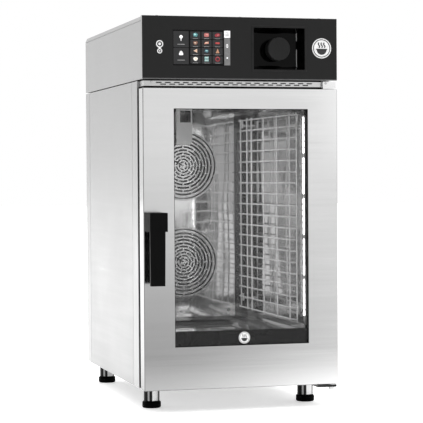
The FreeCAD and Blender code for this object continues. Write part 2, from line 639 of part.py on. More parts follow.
def _arc_slot(radius, width, start, end, y):
    """A curved slot that follows a circle about the fan axis, as a solid to cut with."""
    a, b = math.radians(start), math.radians(end)
    middle = (a + b) / 2

    def at(r, angle):
        return V(r * math.cos(angle), y[0], r * math.sin(angle))

    low, high = radius - width / 2, radius + width / 2
    edges = [
        Part.Arc(at(low, a), at(low, middle), at(low, b)).toShape(),
        Part.makeLine(at(low, b), at(high, b)),
        Part.Arc(at(high, b), at(high, middle), at(high, a)).toShape(),
        Part.makeLine(at(high, a), at(low, a)),
    ]
    return Part.Face(Part.Wire(edges)).extrude(V(0, y[1] - y[0], 0))




def _fan_guard():
    plate = rod(GUARD_R, (0, GUARD_Y + 1.5, 0), (0, GUARD_Y + 3.0, 0))
    bead = tube(GUARD_BEAD[1], GUARD_BEAD[0], (0, GUARD_Y + 0.6, 0), (0, GUARD_Y + 1.6, 0))
    through = (GUARD_Y - 1, GUARD_Y + 5)
    cutters = []
    for ring, (radius, width, count) in enumerate(GUARD_SLOTS):
        step = 360.0 / count
        gap = math.degrees(RIB / radius) / 2
        turned = step / 2 * (ring % 2)
        for i in range(count):
            start = turned + i * step
            cutters.append(_arc_slot(radius, width, start + gap, start + step - gap, through))
    drive = box((-26.0, -1.0), through, (-1.8, 1.8))
    drive.rotate(V(0, 0, 0), Y_AXIS, 30)
    return plate.fuse(bead).cut(cutters + [drive])


def fan_guards():
    guards = []
    for z in FAN_Z:
        guard = _fan_guard()
        guard.translate(V(0, 0.95, z))
        guards.append(guard)
    return group(guards)


def _fan_wheel(z):
    """Radial impeller on its shaft: back plate, blades and a front ring."""
    back = rod(WHEEL_R, (0, 638, z), (0, 639.5, z))
    ring = rod(WHEEL_R, (0, 613, z), (0, 614.5, z)).cut(rod(WHEEL_R - 16, (0, 612, z), (0, 616, z)))
    hub = rod(13, (0, 618, z), (0, 642, z))
    blades = []
    for i in range(14):
        blade = box((46, WHEEL_R - 1), (614, 638.5), (-0.9, 0.9))
        blade.rotate(V(WHEEL_R - 1, 0, 0), Y_AXIS, 22)
        blade.rotate(V(0, 0, 0), Y_AXIS, 360.0 / 14 * i)
        blade.translate(V(0, 0, z))
        blades.append(blade)
    shaft = rod(6, (0, 616, z), (0, 700, z))
    return back.fuse([ring, hub, shaft] + blades)


def fan_wheel_upper():
    return _fan_wheel(FAN_Z[0])


def fan_wheel_lower():
    return _fan_wheel(FAN_Z[1])


def fan_motors():
    motors = []
    for z in FAN_Z:
        flange = rod(60, (0, 664, z), (0, 668, z))
        can = rod(52, (0, 668, z), (0, 722, z))
        ribs = [rod(56, (0, y, z), (0, y + 3, z)) for y in (674, 682, 690, 698, 706, 714)]
        seat = rod(6 + CLEAR, (0, 600, z), (0, 700.5, z))
        motors.append(can.fuse([flange] + ribs).cut(seat))
    return group(motors)


def heating_elements():
    """Three-turn ring heaters round each fan wheel."""
    turns = [Part.makeTorus(COIL_R, COIL_WIRE_R, V(0, y, z), Y_AXIS) for z in FAN_Z for y in (617, 627, 637)]
    leads = [rod(COIL_WIRE_R, (x, 637 + COIL_WIRE_R + 0.1, z), (x, 680, z)) for x, z in heater_leads()]
    return group(turns + leads)


def rack_rails():
    """Ledges on the cavity walls, with the studs that the racks hang on."""
    pieces = []
    wall = CAVITY_HALF - 0.05
    for z in (191.0, 772.0):
        z_mid = (z + 17.0) if z < 300 else z
        rail = box((wall - 4, wall), (80, 536), (z + (6 if z < 300 else 0), z_mid + (0 if z < 300 else 12)))
        pieces.append(rail)
    for y in END_POST_Y:
        for z in STUD_Z:
            stud = rod(STUD_R, (END_POST_X + 5, y, z), (wall, y, z))
            head = rod(STUD_R + 2.5, (END_POST_X + 9.2, y, z), (END_POST_X + 10.6, y, z))
            pieces.append(stud.fuse(head))
    return group(pieces + [mirrored(p) for p in pieces])


def _rung():
    """One runner at height 0: straight along the tray, with both ends bent out to the end posts."""
    front, back = END_POST_Y
    corners = ((END_POST_X, front), (RUNG_X, front + 22), (RUNG_X, back - 22), (END_POST_X, back))
    path = [V(x, y, 0) for x, y in corners]
    posts = [rod(RUNG_R + 0.02, (END_POST_X, y, -9), (END_POST_X, y, 9)) for y in END_POST_Y]
    return _bent_wire(path, 8.0, RUNG_R).cut(posts)


def _bent_wire(points, bend, radius):
    """A round wire through the points, with an arc of the given radius at each corner."""
    edges, here = [], points[0]
    for before, corner, after in zip(points, points[1:], points[2:]):
        into, out = (corner - before).normalize(), (after - corner).normalize()
        turn = into.getAngle(out)
        cut_back = bend * math.tan(turn / 2)
        start, end = corner - into * cut_back, corner + out * cut_back
        inward = (out - into).normalize()
        centre = corner + inward * (bend / math.cos(turn / 2))
        edges.append(Part.makeLine(here, start))
        edges.append(Part.Arc(start, centre - inward * bend, end).toShape())
        here = end
    edges.append(Part.makeLine(here, points[-1]))
    path = Part.Wire(edges)
    profile = Part.Wire([Part.makeCircle(radius, points[0], (points[1] - points[0]).normalize())])
    return path.makePipeShell([profile], True, True)


def _rack_hook(y, z):
    """Plate on an end post, open below, that drops over a stud."""
    plate = box((END_POST_X + RUNG_R + 0.02, END_POST_X + RUNG_R + 3.5), (y - 8, y + 8), (z - 8, z + 14))
    notch = box((END_POST_X, END_POST_X + 9), (y - STUD_R - 0.3, y + STUD_R + 0.3), (z - 9, z))
    seat = rod(STUD_R + 0.3, (END_POST_X, y, z), (END_POST_X + 9, y, z))
    return plate.cut([notch, seat])


def rack_right():
    bottom = RUNG_TOP - RUNG_PITCH * (RUNG_COUNT - 1)
    span = (bottom - 6, RUNG_TOP + 6)
    pieces = []
    for i in range(RUNG_COUNT):
        rung = _rung()
        rung.translate(V(0, 0, RUNG_TOP - RUNG_PITCH * i))
        pieces.append(rung)
    for y in MID_POST_Y:
        x = RUNG_X + 2 * RUNG_R + 0.02
        pieces.append(rod(RUNG_R, (x, y, span[0]), (x, y, span[1])))
    for y in END_POST_Y:
        pieces.append(rod(RUNG_R, (END_POST_X, y, span[0]), (END_POST_X, y, span[1])))
        pieces += [_rack_hook(y, z) for z in STUD_Z]
    return group(pieces)


def injector_cover():
    """Shield that hangs in front of the upper guard, over the water injector."""
    plate = tray((-23.5, 23.5), (588, 596), (695, CAVITY_Z[1] - 0.1), SHEET, "+y")
    window = box((-12.5, 19.5), (580, 592), (759, 793))
    return plate.cut(window)


def wash_nozzle():
    """Ceiling spray head of the cleaning system."""
    stem = rod(6, (0, 330, 783), (0, 330, CAVITY_Z[1] - 0.1))
    plate = rod(22, (0, 330, 796), (0, 330, CAVITY_Z[1] - 0.1))
    bulb = Part.makeSphere(13, V(0, 330, 776))
    jets = []
    for a in spread(0.0, 5.5, 8):
        jets.append(rod(1.4, (0, 330, 776), (30 * math.cos(a), 330 + 30 * math.sin(a), 762)))
    return stem.fuse([plate, bulb]).cut(jets)


def drain_strainer():
    x, y = DRAIN_HOLE
    top = DISH_FLOOR + 3
    cap = rod(32, (x, y, DISH_FLOOR + 0.1), (x, y, top))
    cap = cap.makeChamfer(1.5, [e for e in cap.Edges if e.BoundBox.ZMin > top - 0.1 and len(e.Vertexes) == 1])
    holes = []
    for radius, count in ((9, 6), (17, 12), (25, 18)):
        for i in range(count):
            a = 2 * math.pi * i / count
            at_x, at_y = x + radius * math.cos(a), y + radius * math.sin(a)
            holes.append(rod(2.2, (at_x, at_y, DISH_FLOOR - 5), (at_x, at_y, top + 5)))
    return cap.cut(holes)


# ---- Services -------------------------------------------------------------------------------
def drain_pipe():
    """From the cavity floor down and back to the stub behind the rear panel."""
    bend = 40.0
    x, y = DRAIN_HOLE
    knee = DRAIN_Z + bend
    top = V(x, y, DISH_FLOOR - SHEET - 0.1)
    down = V(x, y, knee)
    elbow_end = V(x, y + bend, DRAIN_Z)
    middle = V(x, y + bend * (1 - math.cos(math.pi / 4)), knee - bend * math.sin(math.pi / 4))
    turn_start = V(x, 480, DRAIN_Z)
    side = V(DRAIN_X, 540, DRAIN_Z)
    edges = [Part.makeLine(top, down), Part.Arc(down, middle, elbow_end).toShape()]
    edges.append(Part.makeLine(elbow_end, turn_start))
    first = Part.Wire(edges)
    ring = Part.Wire([Part.makeCircle(DRAIN_R, top, V(0, 0, -1))])
    drop = first.makePipeShell([ring], True, True)
    slant = rod(DRAIN_R, tuple(turn_start), tuple(side))
    knees = [Part.makeSphere(DRAIN_R, turn_start), Part.makeSphere(DRAIN_R, side)]
    mouth = BODY_DEPTH + FITTING_REACH
    run = rod(DRAIN_R, tuple(side), (DRAIN_X, BODY_DEPTH + 1, DRAIN_Z))
    stub = rod(STUB_R, (DRAIN_X, BODY_DEPTH + 0.5, DRAIN_Z), (DRAIN_X, mouth, DRAIN_Z))
    bore = rod(DRAIN_R - 2, (DRAIN_X, 600, DRAIN_Z), (DRAIN_X, mouth + 1, DRAIN_Z))
    return drop.fuse([slant, run, stub] + knees).cut(bore)


def vent_pipe():
    x, y = VENT_PIPE
    inner = VENT_R - 1.5
    pipe = tube(VENT_R, inner, (x, y, CAVITY_Z[1] + SHEET + 0.1), (x, y, TOP + 1))
    spigot = tube(SPIGOT_R, inner, (x, y, TOP + 0.5), (x, y, TOP + VENT_RISE))
    shaft = rod(3 + CLEAR, (x - 40, y, FLAP_Z), (x + 40, y, FLAP_Z))
    return pipe.fuse(spigot).cut(shaft)


def vent_flap():
    """Butterfly flap on its shaft, shut at rest."""
    x, y = VENT_PIPE
    disc = rod(VENT_R - 2.2, (x, y, FLAP_Z - 1), (x, y, FLAP_Z + 1))
    shaft = rod(3, (x - 30, y, FLAP_Z), (x + 31, y, FLAP_Z))
    return disc.fuse(shaft)


def vent_actuator():
    x, y = VENT_PIPE
    case = box((x + 32, x + 66), (y - 22, y + 22), (FLAP_Z - 24, FLAP_Z + 24))
    arm = box((x + 40, x + 60), (y - 6, y + 6), (HOUSING_BOTTOM + SHEET, FLAP_Z - 24))
    seat = rod(3 + CLEAR, (x + 20, y, FLAP_Z), (x + 36, y, FLAP_Z))
    return case.fuse(arm).cut(seat)


def cooling_fan_frame():
    x, z = COOLER
    y = (708, BODY_DEPTH - SHEET - 0.1)
    body = box((x - 59.5, x + 59.5), y, (z - 59.5, z + 59.5))
    body = body.cut(rod(57, (x, 700, z), (x, 740, z)))
    depth = (y[0], y[0] + 3)
    spider = [box((x - wide, x + wide), depth, (z - tall, z + tall)) for wide, tall in ((58, 3), (3, 58))]
    hub = rod(20, (x, y[0], z), (x, y[0] + 3, z))
    axle = rod(3, (x, y[0], z), (x, y[1] - 3, z))
    return body.fuse(spider + [hub, axle])


def cooling_fan_rotor():
    x, z = COOLER
    hub = rod(20, (x, 713, z), (x, 731, z))
    blades = []
    for i in range(7):
        blade = box((15, 54.5), (-0.9, 0.9), (-9, 9))
        blade.rotate(V(0, 0, 0), X_AXIS, 40)
        blade.rotate(V(0, 0, 0), Y_AXIS, 360.0 / 7 * i)
        blade.translate(V(x, 722, z))
        blades.append(blade)
    bore = rod(3 + CLEAR, (x, 700, z), (x, 740, z))
    return hub.fuse(blades).cut(bore)


def water_inlet_valve():
    """Solenoid valve whose three-quarter-inch threaded stub passes through the rear panel."""
    wall = BODY_DEPTH
    neck = rod(12, (WATER_X, wall - 6, DRAIN_Z), (WATER_X, wall + 1, DRAIN_Z))
    stub = rod(WATER_R, (WATER_X, wall + 0.3, DRAIN_Z), (WATER_X, wall + 22, DRAIN_Z))
    collar = rod(18, (WATER_X, wall - 23, DRAIN_Z), (WATER_X, wall - 5, DRAIN_Z))
    body = box((WATER_X - 16, WATER_X + 16), (660, wall - 23), (DRAIN_Z - 16, DRAIN_Z + 16))
    coil = box((WATER_X - 15, WATER_X + 15), (668, 706), (DRAIN_Z + 16, DRAIN_Z + 52))
    bore = rod(9, (WATER_X, wall - 8, DRAIN_Z), (WATER_X, wall + 30, DRAIN_Z))
    return body.fuse([collar, coil, neck, stub]).cut(bore)


def cable_gland():
    x, z = GLAND
    flange = rod(16, (x, BODY_DEPTH + 0.05, z), (x, BODY_DEPTH + 6, z))
    cap = rod(13, (x, BODY_DEPTH + 6, z), (x, BODY_DEPTH + 24, z))
    rim = [e for e in cap.Edges if e.BoundBox.YMin > BODY_DEPTH + 23.9 and len(e.Vertexes) == 1]
    cap = cap.makeFillet(3, rim)
    thread = rod(10, (x, BODY_DEPTH - 10, z), (x, BODY_DEPTH + 1, z))
    nut = rod(15, (x, BODY_DEPTH - 9, z), (x, BODY_DEPTH - 4, z))
    bore = rod(7, (x, BODY_DEPTH - 20, z), (x, BODY_DEPTH + 30, z))
    return flange.fuse([cap, thread, nut]).cut(bore)


def insulation():
    """Mineral-wool slabs round the cavity liner."""
    side = CAVITY_HALF + SHEET + 0.3
    floor, roof = CAVITY_Z[0] - SHEET - 0.3, CAVITY_Z[1] + SHEET + 0.3
    left = box((-HALF + 14, -side), (126, 660), (100, roof))
    top = box((-side, side), (126, 660), (roof, roof + 40))
    beneath = DISH_FLOOR - SHEET - 0.3
    under = box((-side, side), (126, 640), (beneath - 30, beneath))
    top = top.cut(rod(VENT_R + 0.5, (*VENT_PIPE, 780), (*VENT_PIPE, 880)))
    under = under.cut(rod(26, (*DRAIN_HOLE, 100), (*DRAIN_HOLE, 200)))
    back = box((-side, side), (CAVITY_BACK + SHEET + 0.3, 663.8), (floor + 10, roof - 10))
    back = back.cut([rod(12, (0, 600, z), (0, 700, z)) for z in FAN_Z])
    back = back.cut([rod(5, (x, 600, z), (x, 700, z)) for x, z in heater_leads()])
    top_y = box((-side - 1, side + 1), (CAVITY_BACK, 700), (roof - 11, roof + 60))
    return group([left, mirrored(left), top.cut(top_y), under, back])


def screws():
    """Visible fasteners: fascia top, lid, vent strip, baffle and rear panel."""
    heads = [pan_head(3.4, 2.0, V(x, 8.5, TOP + 0.02), Z_AXIS) for x in (-219, 0, 213)]
    heads += [pan_head(3.4, 2.0, V(x, y, TOP + 0.02), Z_AXIS) for x in (-230, 230) for y in (60, 380, 700)]
    heads.append(pan_head(3.2, 1.8, V(-233, VENT_STRIP_Y - 0.02, 841.9), V(0, -1, 0)))
    heads.append(pan_head(3.2, 1.8, V(230, 3.98, 841.6), V(0, -1, 0)))
    baffle = [V(x, BAFFLE_Y - 0.02, z) for x in (-135, 135) for z in (210, 493, 771)]
    heads += [pan_head(4.5, 2.4, place, V(0, -1, 0)) for place in baffle]
    rear = [V(x, BODY_DEPTH + 0.02, z) for x in (-245, 245) for z in (80, 330, 580, 830)]
    heads += [pan_head(3.4, 2.0, place, Y_AXIS) for place in rear]
    return group(heads)


PIECES = (
    base_pan, leg_sleeves, foot_pads, side_panel_left, front_frame, rear_panel, control_housing, top_lid,
    panel_frame, control_panel, display_lens, display_module, circuit_boards, knob_recess, encoder_body,
    encoder_plunger, knob, knob_shaft, vent_grille, hinge_brackets, hinge_pins, door_bushes, door_skin,
    door_inner_frame, outer_glass, glass_print_band, glass_seals, inner_glass, window_jamb, inner_glass_clips,
    led_bar, handle, handle_spindle, strike_cup, door_gasket, cavity_liner, air_baffle, fan_guards,
    fan_wheel_upper, fan_wheel_lower, fan_motors, heating_elements, rack_rails, rack_right, injector_cover,
    wash_nozzle, drain_strainer, drain_pipe, vent_pipe, vent_flap, vent_actuator, cooling_fan_frame,
    cooling_fan_rotor, water_inlet_valve, cable_gland, insulation, screws,
)
MIRRORED = {"side_panel_right": side_panel_left, "rack_left": rack_right}


def main():
    os.makedirs("parts", exist_ok=True)
    shapes = {piece.__name__: piece() for piece in PIECES}
    shapes.update({name: mirrored(piece()) for name, piece in MIRRORED.items()})
    for name, shape in shapes.items():
        placed = shape.copy()
        placed.translate(SHIFT)
        bad = [i for i, solid in enumerate(placed.Solids) if not solid.isValid() or solid.Volume <= 0]
        warning = f", BAD {bad}" if bad else ""
        print(f"{name}: {len(placed.Solids)} solids, {placed.Volume / 1000:.1f} cm3{warning}")
        placed.exportStep(f"parts/{name}.step")


main()
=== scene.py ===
import math

import bmesh
import bpy
from mathutils import Matrix, Vector


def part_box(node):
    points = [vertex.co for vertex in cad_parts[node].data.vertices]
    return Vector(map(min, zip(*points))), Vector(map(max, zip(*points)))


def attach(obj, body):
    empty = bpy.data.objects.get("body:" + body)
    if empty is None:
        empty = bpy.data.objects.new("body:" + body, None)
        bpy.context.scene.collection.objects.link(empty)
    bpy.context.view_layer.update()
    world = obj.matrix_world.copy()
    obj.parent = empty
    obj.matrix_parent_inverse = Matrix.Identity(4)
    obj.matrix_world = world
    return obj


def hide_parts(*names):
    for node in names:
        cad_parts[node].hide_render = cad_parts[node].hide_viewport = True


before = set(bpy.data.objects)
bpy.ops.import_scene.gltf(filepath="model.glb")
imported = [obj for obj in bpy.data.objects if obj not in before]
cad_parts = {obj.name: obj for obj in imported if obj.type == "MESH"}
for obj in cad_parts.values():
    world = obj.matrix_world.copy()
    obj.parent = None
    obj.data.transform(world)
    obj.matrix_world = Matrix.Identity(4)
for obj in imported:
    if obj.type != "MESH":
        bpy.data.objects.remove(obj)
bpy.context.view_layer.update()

MM = 0.001


# ---- Node helpers -----------------------------------------------------------------------------
class Graph:
    """A node tree under construction: short calls that add nodes and join them."""

    def __init__(self, tree):
        self.tree = tree
        self.tree.nodes.clear()

    def node(self, kind, **inputs):
        made = self.tree.nodes.new("ShaderNode" + kind)
        for key, value in inputs.items():
            self.put(made, key, value)
        return made

    def put(self, node, key, value):
        """Sets or joins an input, named with _ for each space, or numbered as _0, _1 and so on."""
        numbered = key[0] == "_" and key[1:].isdigit()
        socket = node.inputs[int(key[1:]) if numbered else key.replace("_", " ")]
        if isinstance(value, bpy.types.NodeSocket):
            self.tree.links.new(value, socket)
        else:
            socket.default_value = value

    def place(self, scale):
        """Object coordinates in metres, stretched by scale."""
        coordinates = self.node("TexCoord")
        mapping = self.node("Mapping", Vector=coordinates.outputs["Object"])
        mapping.inputs["Scale"].default_value = scale
        return mapping.outputs["Vector"]

    def noise(self, scale, detail=2.0, rough=0.5):
        """Noise with scale cells a metre along each axis."""
        made = self.node("TexNoise", Vector=self.place(scale), Scale=1.0, Detail=detail, Roughness=rough)
        return made.outputs["Fac"]

    def span(self, value, low, high, start=0.3, end=0.7, soft=False):
        """low where value is start, high where it is end, and in between along a line or a soft curve."""
        made = self.node("MapRange", Value=value)
        made.interpolation_type = "SMOOTHSTEP" if soft else "LINEAR"
        for key, number in (("From Min", start), ("From Max", end), ("To Min", low), ("To Max", high)):
            made.inputs[key].default_value = number
        return made.outputs["Result"]

    def math(self, kind, a, b):
        made = self.node("Math", _0=a, _1=b)
        made.operation = kind
        return made.outputs[0]

    def tones(self, factor, low, high):
        """Colour between low and high over the middle of the noise's range."""
        made = self.node("ValToRGB", Fac=factor)
        ramp = made.color_ramp.elements
        ramp[0].position, ramp[1].position = 0.3, 0.7
        ramp[0].color, ramp[1].color = (*low, 1), (*high, 1)
        return made.outputs["Color"]

    def near_line(self, x, z, reach, depth):
        """1 away from the line that runs along Y through (x, z), falling by depth on it: the mask of a
        painted shade.
        """
        split = self.node("SeparateXYZ", Vector=self.node("TexCoord").outputs["Object"])
        across = self.math("SUBTRACT", split.outputs["X"], x)
        up = self.math("SUBTRACT", split.outputs["Z"], z)
        square = self.math("ADD", self.math("MULTIPLY", across, across), self.math("MULTIPLY", up, up))
        away = self.math("SQRT", square, 0.0)
        return self.span(away, 1.0 - depth, 1.0, 0.0, reach, True)

    def facing_shade(self, fold, side):
        """1 on faces that look to the front, fold on the rounded folds and side on faces square to it:
        painted shade by the way each face turns.
        """
        split = self.node("SeparateXYZ", Vector=self.node("TexCoord").outputs["Normal"])
        front = self.math("MULTIPLY", split.outputs["Y"], -1.0)
        turned = self.span(front, side, fold, 0.04, 0.12)
        facing = self.span(front, 0.0, 1.0 - fold, 0.93, 0.985)
        return self.math("ADD", turned, facing)

    def darken(self, colour, level):
        """The colour times level."""
        tint = self.node("CombineXYZ", X=level, Y=level, Z=level)
        made = self.node("VectorMath", _0=colour, _1=tint.outputs[0])
        made.operation = "MULTIPLY"
        return made.outputs[0]

    def bump(self, height, strength, distance, after=None):
        made = self.node("Bump", Height=height, Strength=strength, Distance=distance)
        if after is not None:
            self.put(made, "Normal", after)
        return made.outputs["Normal"]


class Shader(Graph):
    """A material graph with its output."""

    def __init__(self, name):
        self.material = bpy.data.materials.new(name)
        self.material.use_nodes = True
        super().__init__(self.material.node_tree)
        self.out = self.tree.nodes.new("ShaderNodeOutputMaterial")

    def finish(self, surface):
        self.tree.links.new(surface, self.out.inputs["Surface"])
        return self.material


def grey(value):
    return value, value, value


def brushed(name, value, rough, grain, fine=1100.0, bump=0.05, wave=0.0, smudge=0.05, metal=1.0,
            sweep=None, shade_behind_y=None, edges=None):
    """Brushed or rolled sheet of the grey value. grain is the brushing's direction: 0, 1 or 2 for X, Y or Z.

    fine is how many scratches cross a metre, wave the sheet's unevenness and smudge the change in its polish.
    Lower metal gives a whiter, more matt bloom.
    sweep (x, z, reach, depth) darkens the sheet softly by depth towards the point (x, z), as painted shade.
    shade_behind_y (start, end, depth) darkens it behind y = start, as painted shade of the chamber behind the
    baffle.
    edges (fold, side) are the tones of its folds and of its faces square to the front, painted shade by the
    way each face turns.
    """
    s = Shader(name)
    stretch = [fine] * 3
    stretch[grain] = fine / 220
    broad = [70.0] * 3
    broad[grain] = 2.5
    streaks = s.noise(tuple(stretch), 3.0, 0.6)
    bands = s.noise(tuple(broad), 3.0, 0.55)
    clouds = s.noise((3.2, 3.2, 3.2), 4.0, 0.6)
    mixed = s.math("ADD", s.math("MULTIPLY", streaks, 0.45), s.math("MULTIPLY", bands, 0.55))
    colour = s.tones(mixed, grey(value * 0.95), grey(value * 1.04))
    if sweep:
        colour = s.darken(colour, s.near_line(*sweep))
    if shade_behind_y:
        start, end, depth = shade_behind_y
        split = s.node("SeparateXYZ", Vector=s.node("TexCoord").outputs["Object"])
        colour = s.darken(colour, s.span(split.outputs["Y"], 1.0, 1.0 - depth, start, end, True))
    if edges:
        colour = s.darken(colour, s.facing_shade(*edges))
    lean = s.math("ADD", s.span(mixed, rough - 0.05, rough + 0.06), s.span(clouds, -smudge, smudge))
    normal = s.bump(streaks, bump, 0.0003)
    if wave:
        normal = s.bump(s.noise((5.0, 5.0, 2.2), 2.0, 0.5), wave, 0.02, normal)
    surface = s.node("BsdfPrincipled", Base_Color=colour, Metallic=metal, Roughness=lean, Normal=normal)
    return s.finish(surface.outputs[0])


def polished(name, value, rough, wave=0.12, metal=1.0):
    """Bright steel with faint ripples, tarnish and handling marks."""
    s = Shader(name)
    ripple = s.noise((9.0, 9.0, 4.0), 2.0, 0.5)
    stain = s.noise((22.0, 22.0, 22.0), 5.0, 0.65)
    scratch = s.noise((900.0, 900.0, 30.0), 2.0, 0.5)
    colour = s.tones(stain, grey(value * 0.9), grey(value * 1.04))
    lean = s.math("ADD", s.span(stain, rough * 0.7, rough * 1.5), s.span(scratch, -0.02, 0.03))
    normal = s.bump(ripple, wave, 0.012, s.bump(scratch, 0.03, 0.0002))
    surface = s.node("BsdfPrincipled", Base_Color=colour, Metallic=metal, Roughness=lean, Normal=normal)
    return s.finish(surface.outputs[0])


def reflection_banded(name, bands, rough):
    """Bright round sleeve whose tone changes round it as a painted reflection: bands are (degrees from the
    front, tone) pairs.
    """
    s = Shader(name)
    split = s.node("SeparateXYZ", Vector=s.node("TexCoord").outputs["Normal"])
    front = s.math("MULTIPLY", split.outputs["Y"], -1.0)
    angle = s.math("ARCTAN2", split.outputs["X"], front)
    made = s.node("ValToRGB", Fac=s.span(angle, 0.0, 1.0, -math.pi, math.pi))
    ramp = made.color_ramp.elements
    for i, (degrees, tone) in enumerate(bands):
        stop = ramp[i] if i < 2 else ramp.new(1.0)
        stop.position = 0.5 + degrees / 360
        stop.color = (tone, tone, tone, 1)
    stain = s.noise((60.0, 60.0, 60.0), 4.0, 0.6)
    normal = s.bump(s.noise((900.0, 900.0, 40.0), 2.0, 0.5), 0.02, 0.0002)
    lean = s.span(stain, rough * 0.7, rough * 1.3)
    colour = made.outputs["Color"]
    surface = s.node("BsdfPrincipled", Base_Color=colour, Metallic=1.0, Roughness=lean, Normal=normal)
    return s.finish(surface.outputs[0])


def moulded(name, colour, rough, grain=2600.0, bump=0.12, specular=0.5, vary=0.25, foot=0.0):
    """Plastic, rubber or powder coat: fine grain, patchy gloss and slight colour drift.

    foot lightens bevels that look forward and down, as a painted highlight.
    """
    s = Shader(name)
    pores = s.noise((grain, grain, grain), 2.0, 0.6)
    patches = s.noise((14.0, 14.0, 14.0), 4.0, 0.6)
    rub = s.noise((60.0, 60.0, 8.0), 3.0, 0.6)
    low = tuple(c * (1 - vary) for c in colour)
    high = tuple(min(1.0, c * (1 + vary)) for c in colour)
    mixed = s.math("ADD", s.math("MULTIPLY", patches, 0.6), s.math("MULTIPLY", rub, 0.4))
    shade = s.tones(mixed, low, high)
    # Painted highlight: faces that look down are lightened as if they caught the bright floor.
    if foot:
        split = s.node("SeparateXYZ", Vector=s.node("TexCoord").outputs["Normal"])
        shade = s.darken(shade, s.span(split.outputs["Z"], foot, 1.0, -0.5, -0.3))
    lean = s.math("ADD", s.span(patches, rough * 0.85, rough * 1.2), s.span(pores, -0.03, 0.03))
    normal = s.bump(pores, bump, 0.0002)
    surface = s.node("BsdfPrincipled", Base_Color=shade, Roughness=lean, Normal=normal)
    surface.inputs["Specular IOR Level"].default_value = specular
    return s.finish(surface.outputs[0])


def recess(name, rim_start, rim_tone, floor_tone, rough, corner_x, highlight_gap_z):
    """Gloss black pocket whose rim, in front of y = rim_start, is satin and lighter as a painted highlight,
    while the pocket behind it is painted near black as shade.

    Its inside corner to the right of corner_x carries a painted highlight, but for a gap at the height
    highlight_gap_z.
    """
    s = Shader(name)
    split = s.node("SeparateXYZ", Vector=s.node("TexCoord").outputs["Object"])
    # Painted highlight and shade: the rim lighter, the pocket behind it near black.
    depth = s.span(split.outputs["Y"], 0.0, 1.0, rim_start, rim_start + 0.2 * MM)
    patches = s.noise((30.0, 30.0, 30.0), 4.0, 0.6)
    tone = s.math("MULTIPLY", s.span(depth, rim_tone, floor_tone, 0.0, 1.0), s.span(patches, 0.85, 1.15))
    # Painted highlight in the inside corner on the right, broken at one height.
    side = s.node("SeparateXYZ", Vector=s.node("TexCoord").outputs["Normal"]).outputs["X"]
    inward = s.span(side, 0.0, 1.0, -0.97, -0.85, True)
    corner = s.math("MULTIPLY", inward, s.span(side, 1.0, 0.0, -0.5, -0.3, True))
    away = s.math("ABSOLUTE", s.math("SUBTRACT", split.outputs["Z"], highlight_gap_z), 0.0)
    corner = s.math("MULTIPLY", corner, s.span(away, 0.0, 0.5, 9 * MM, 14 * MM, True))
    corner = s.math("MULTIPLY", corner, s.span(split.outputs["X"], 0.0, 1.0, corner_x - MM, corner_x))
    tone = s.math("MAXIMUM", tone, corner)
    lean = s.math("MULTIPLY", s.span(depth, 0.4, rough, 0.0, 1.0), s.span(patches, 0.8, 1.2))
    colour = s.node("CombineXYZ", X=tone, Y=tone, Z=tone).outputs[0]
    normal = s.bump(s.noise((1500.0, 1500.0, 1500.0), 2.0, 0.6), 0.02, 0.0002)
    surface = s.node("BsdfPrincipled", Base_Color=colour, Roughness=lean, Normal=normal)
    surface.inputs["Specular IOR Level"].default_value = 0.1
    return s.finish(surface.outputs[0])


def pane(name, tint, mirror):
    """Flat tempered glass: clear straight through, with a faint mirror that grows at a glancing angle."""
    s = Shader(name)
    film = s.noise((6.0, 6.0, 2.0), 4.0, 0.6)
    clear = s.node("BsdfTransparent", Color=s.tones(film, grey(tint * 0.985), grey(tint)))
    gloss = s.node("BsdfGlossy", Color=(1, 1, 1, 1), Roughness=s.span(film, 0.01, 0.05))
    edge = s.node("Fresnel", IOR=1.45)
    weight = s.math("MULTIPLY", edge.outputs[0], s.span(film, mirror * 0.85, mirror * 1.1))
    both = s.node("MixShader", _0=weight, _1=clear.outputs[0], _2=gloss.outputs[0])
    return s.finish(both.outputs[0])


def lit(name, colour, strength, patch=0.12):
    """A lit face whose brightness drifts a little across it."""
    s = Shader(name)
    drift = s.noise((160.0, 160.0, 160.0), 2.0, 0.5)
    low = tuple(c * (1 - patch) for c in colour)
    high = tuple(min(1.0, c * (1 + patch)) for c in colour)
    shade = s.tones(drift, low, high)
    surface = s.node("BsdfPrincipled", Base_Color=shade, Roughness=0.35, Emission_Color=shade)
    surface.inputs["Emission Strength"].default_value = strength
    return s.finish(surface.outputs[0])


def wool(name):
    """Matted mineral fibres."""
    s = Shader(name)
    fibre = s.noise((900.0, 900.0, 60.0), 5.0, 0.7)
    clump = s.noise((40.0, 40.0, 40.0), 4.0, 0.6)
    mixed = s.math("ADD", s.math("MULTIPLY", fibre, 0.5), s.math("MULTIPLY", clump, 0.5))
    colour = s.tones(mixed, (0.36, 0.31, 0.18), (0.66, 0.6, 0.4))
    surface = s.node("BsdfPrincipled", Base_Color=colour, Roughness=0.95, Normal=s.bump(mixed, 0.8, 0.002))
    return s.finish(surface.outputs[0])


def painted_floor(name):
    """Pale, faintly glowing floor that darkens by more than half further out in front of the oven."""
    s = Shader(name)
    grain = s.noise((3.0, 3.0, 3.0), 4.0, 0.6)
    colour = s.tones(grain, (0.9, 0.9, 0.9), (0.93, 0.93, 0.93))
    split = s.node("SeparateXYZ", Vector=s.node("TexCoord").outputs["Object"])
    colour = s.darken(colour, s.span(split.outputs["Y"], 0.42, 1.0, -1.7, -0.45, True))
    surface = s.node("BsdfPrincipled", Base_Color=colour, Roughness=0.7, Emission_Color=colour)
    surface.inputs["Emission Strength"].default_value = 0.5
    surface.inputs["Specular IOR Level"].default_value = 0.2
    return s.finish(surface.outputs[0])


# Painted shade: the door and the sides darken towards this line at their lower left.
DOOR_SHADE_LINE = (-0.26, 0.0)             # x, z of the line along Y where the outer sheets are darkest
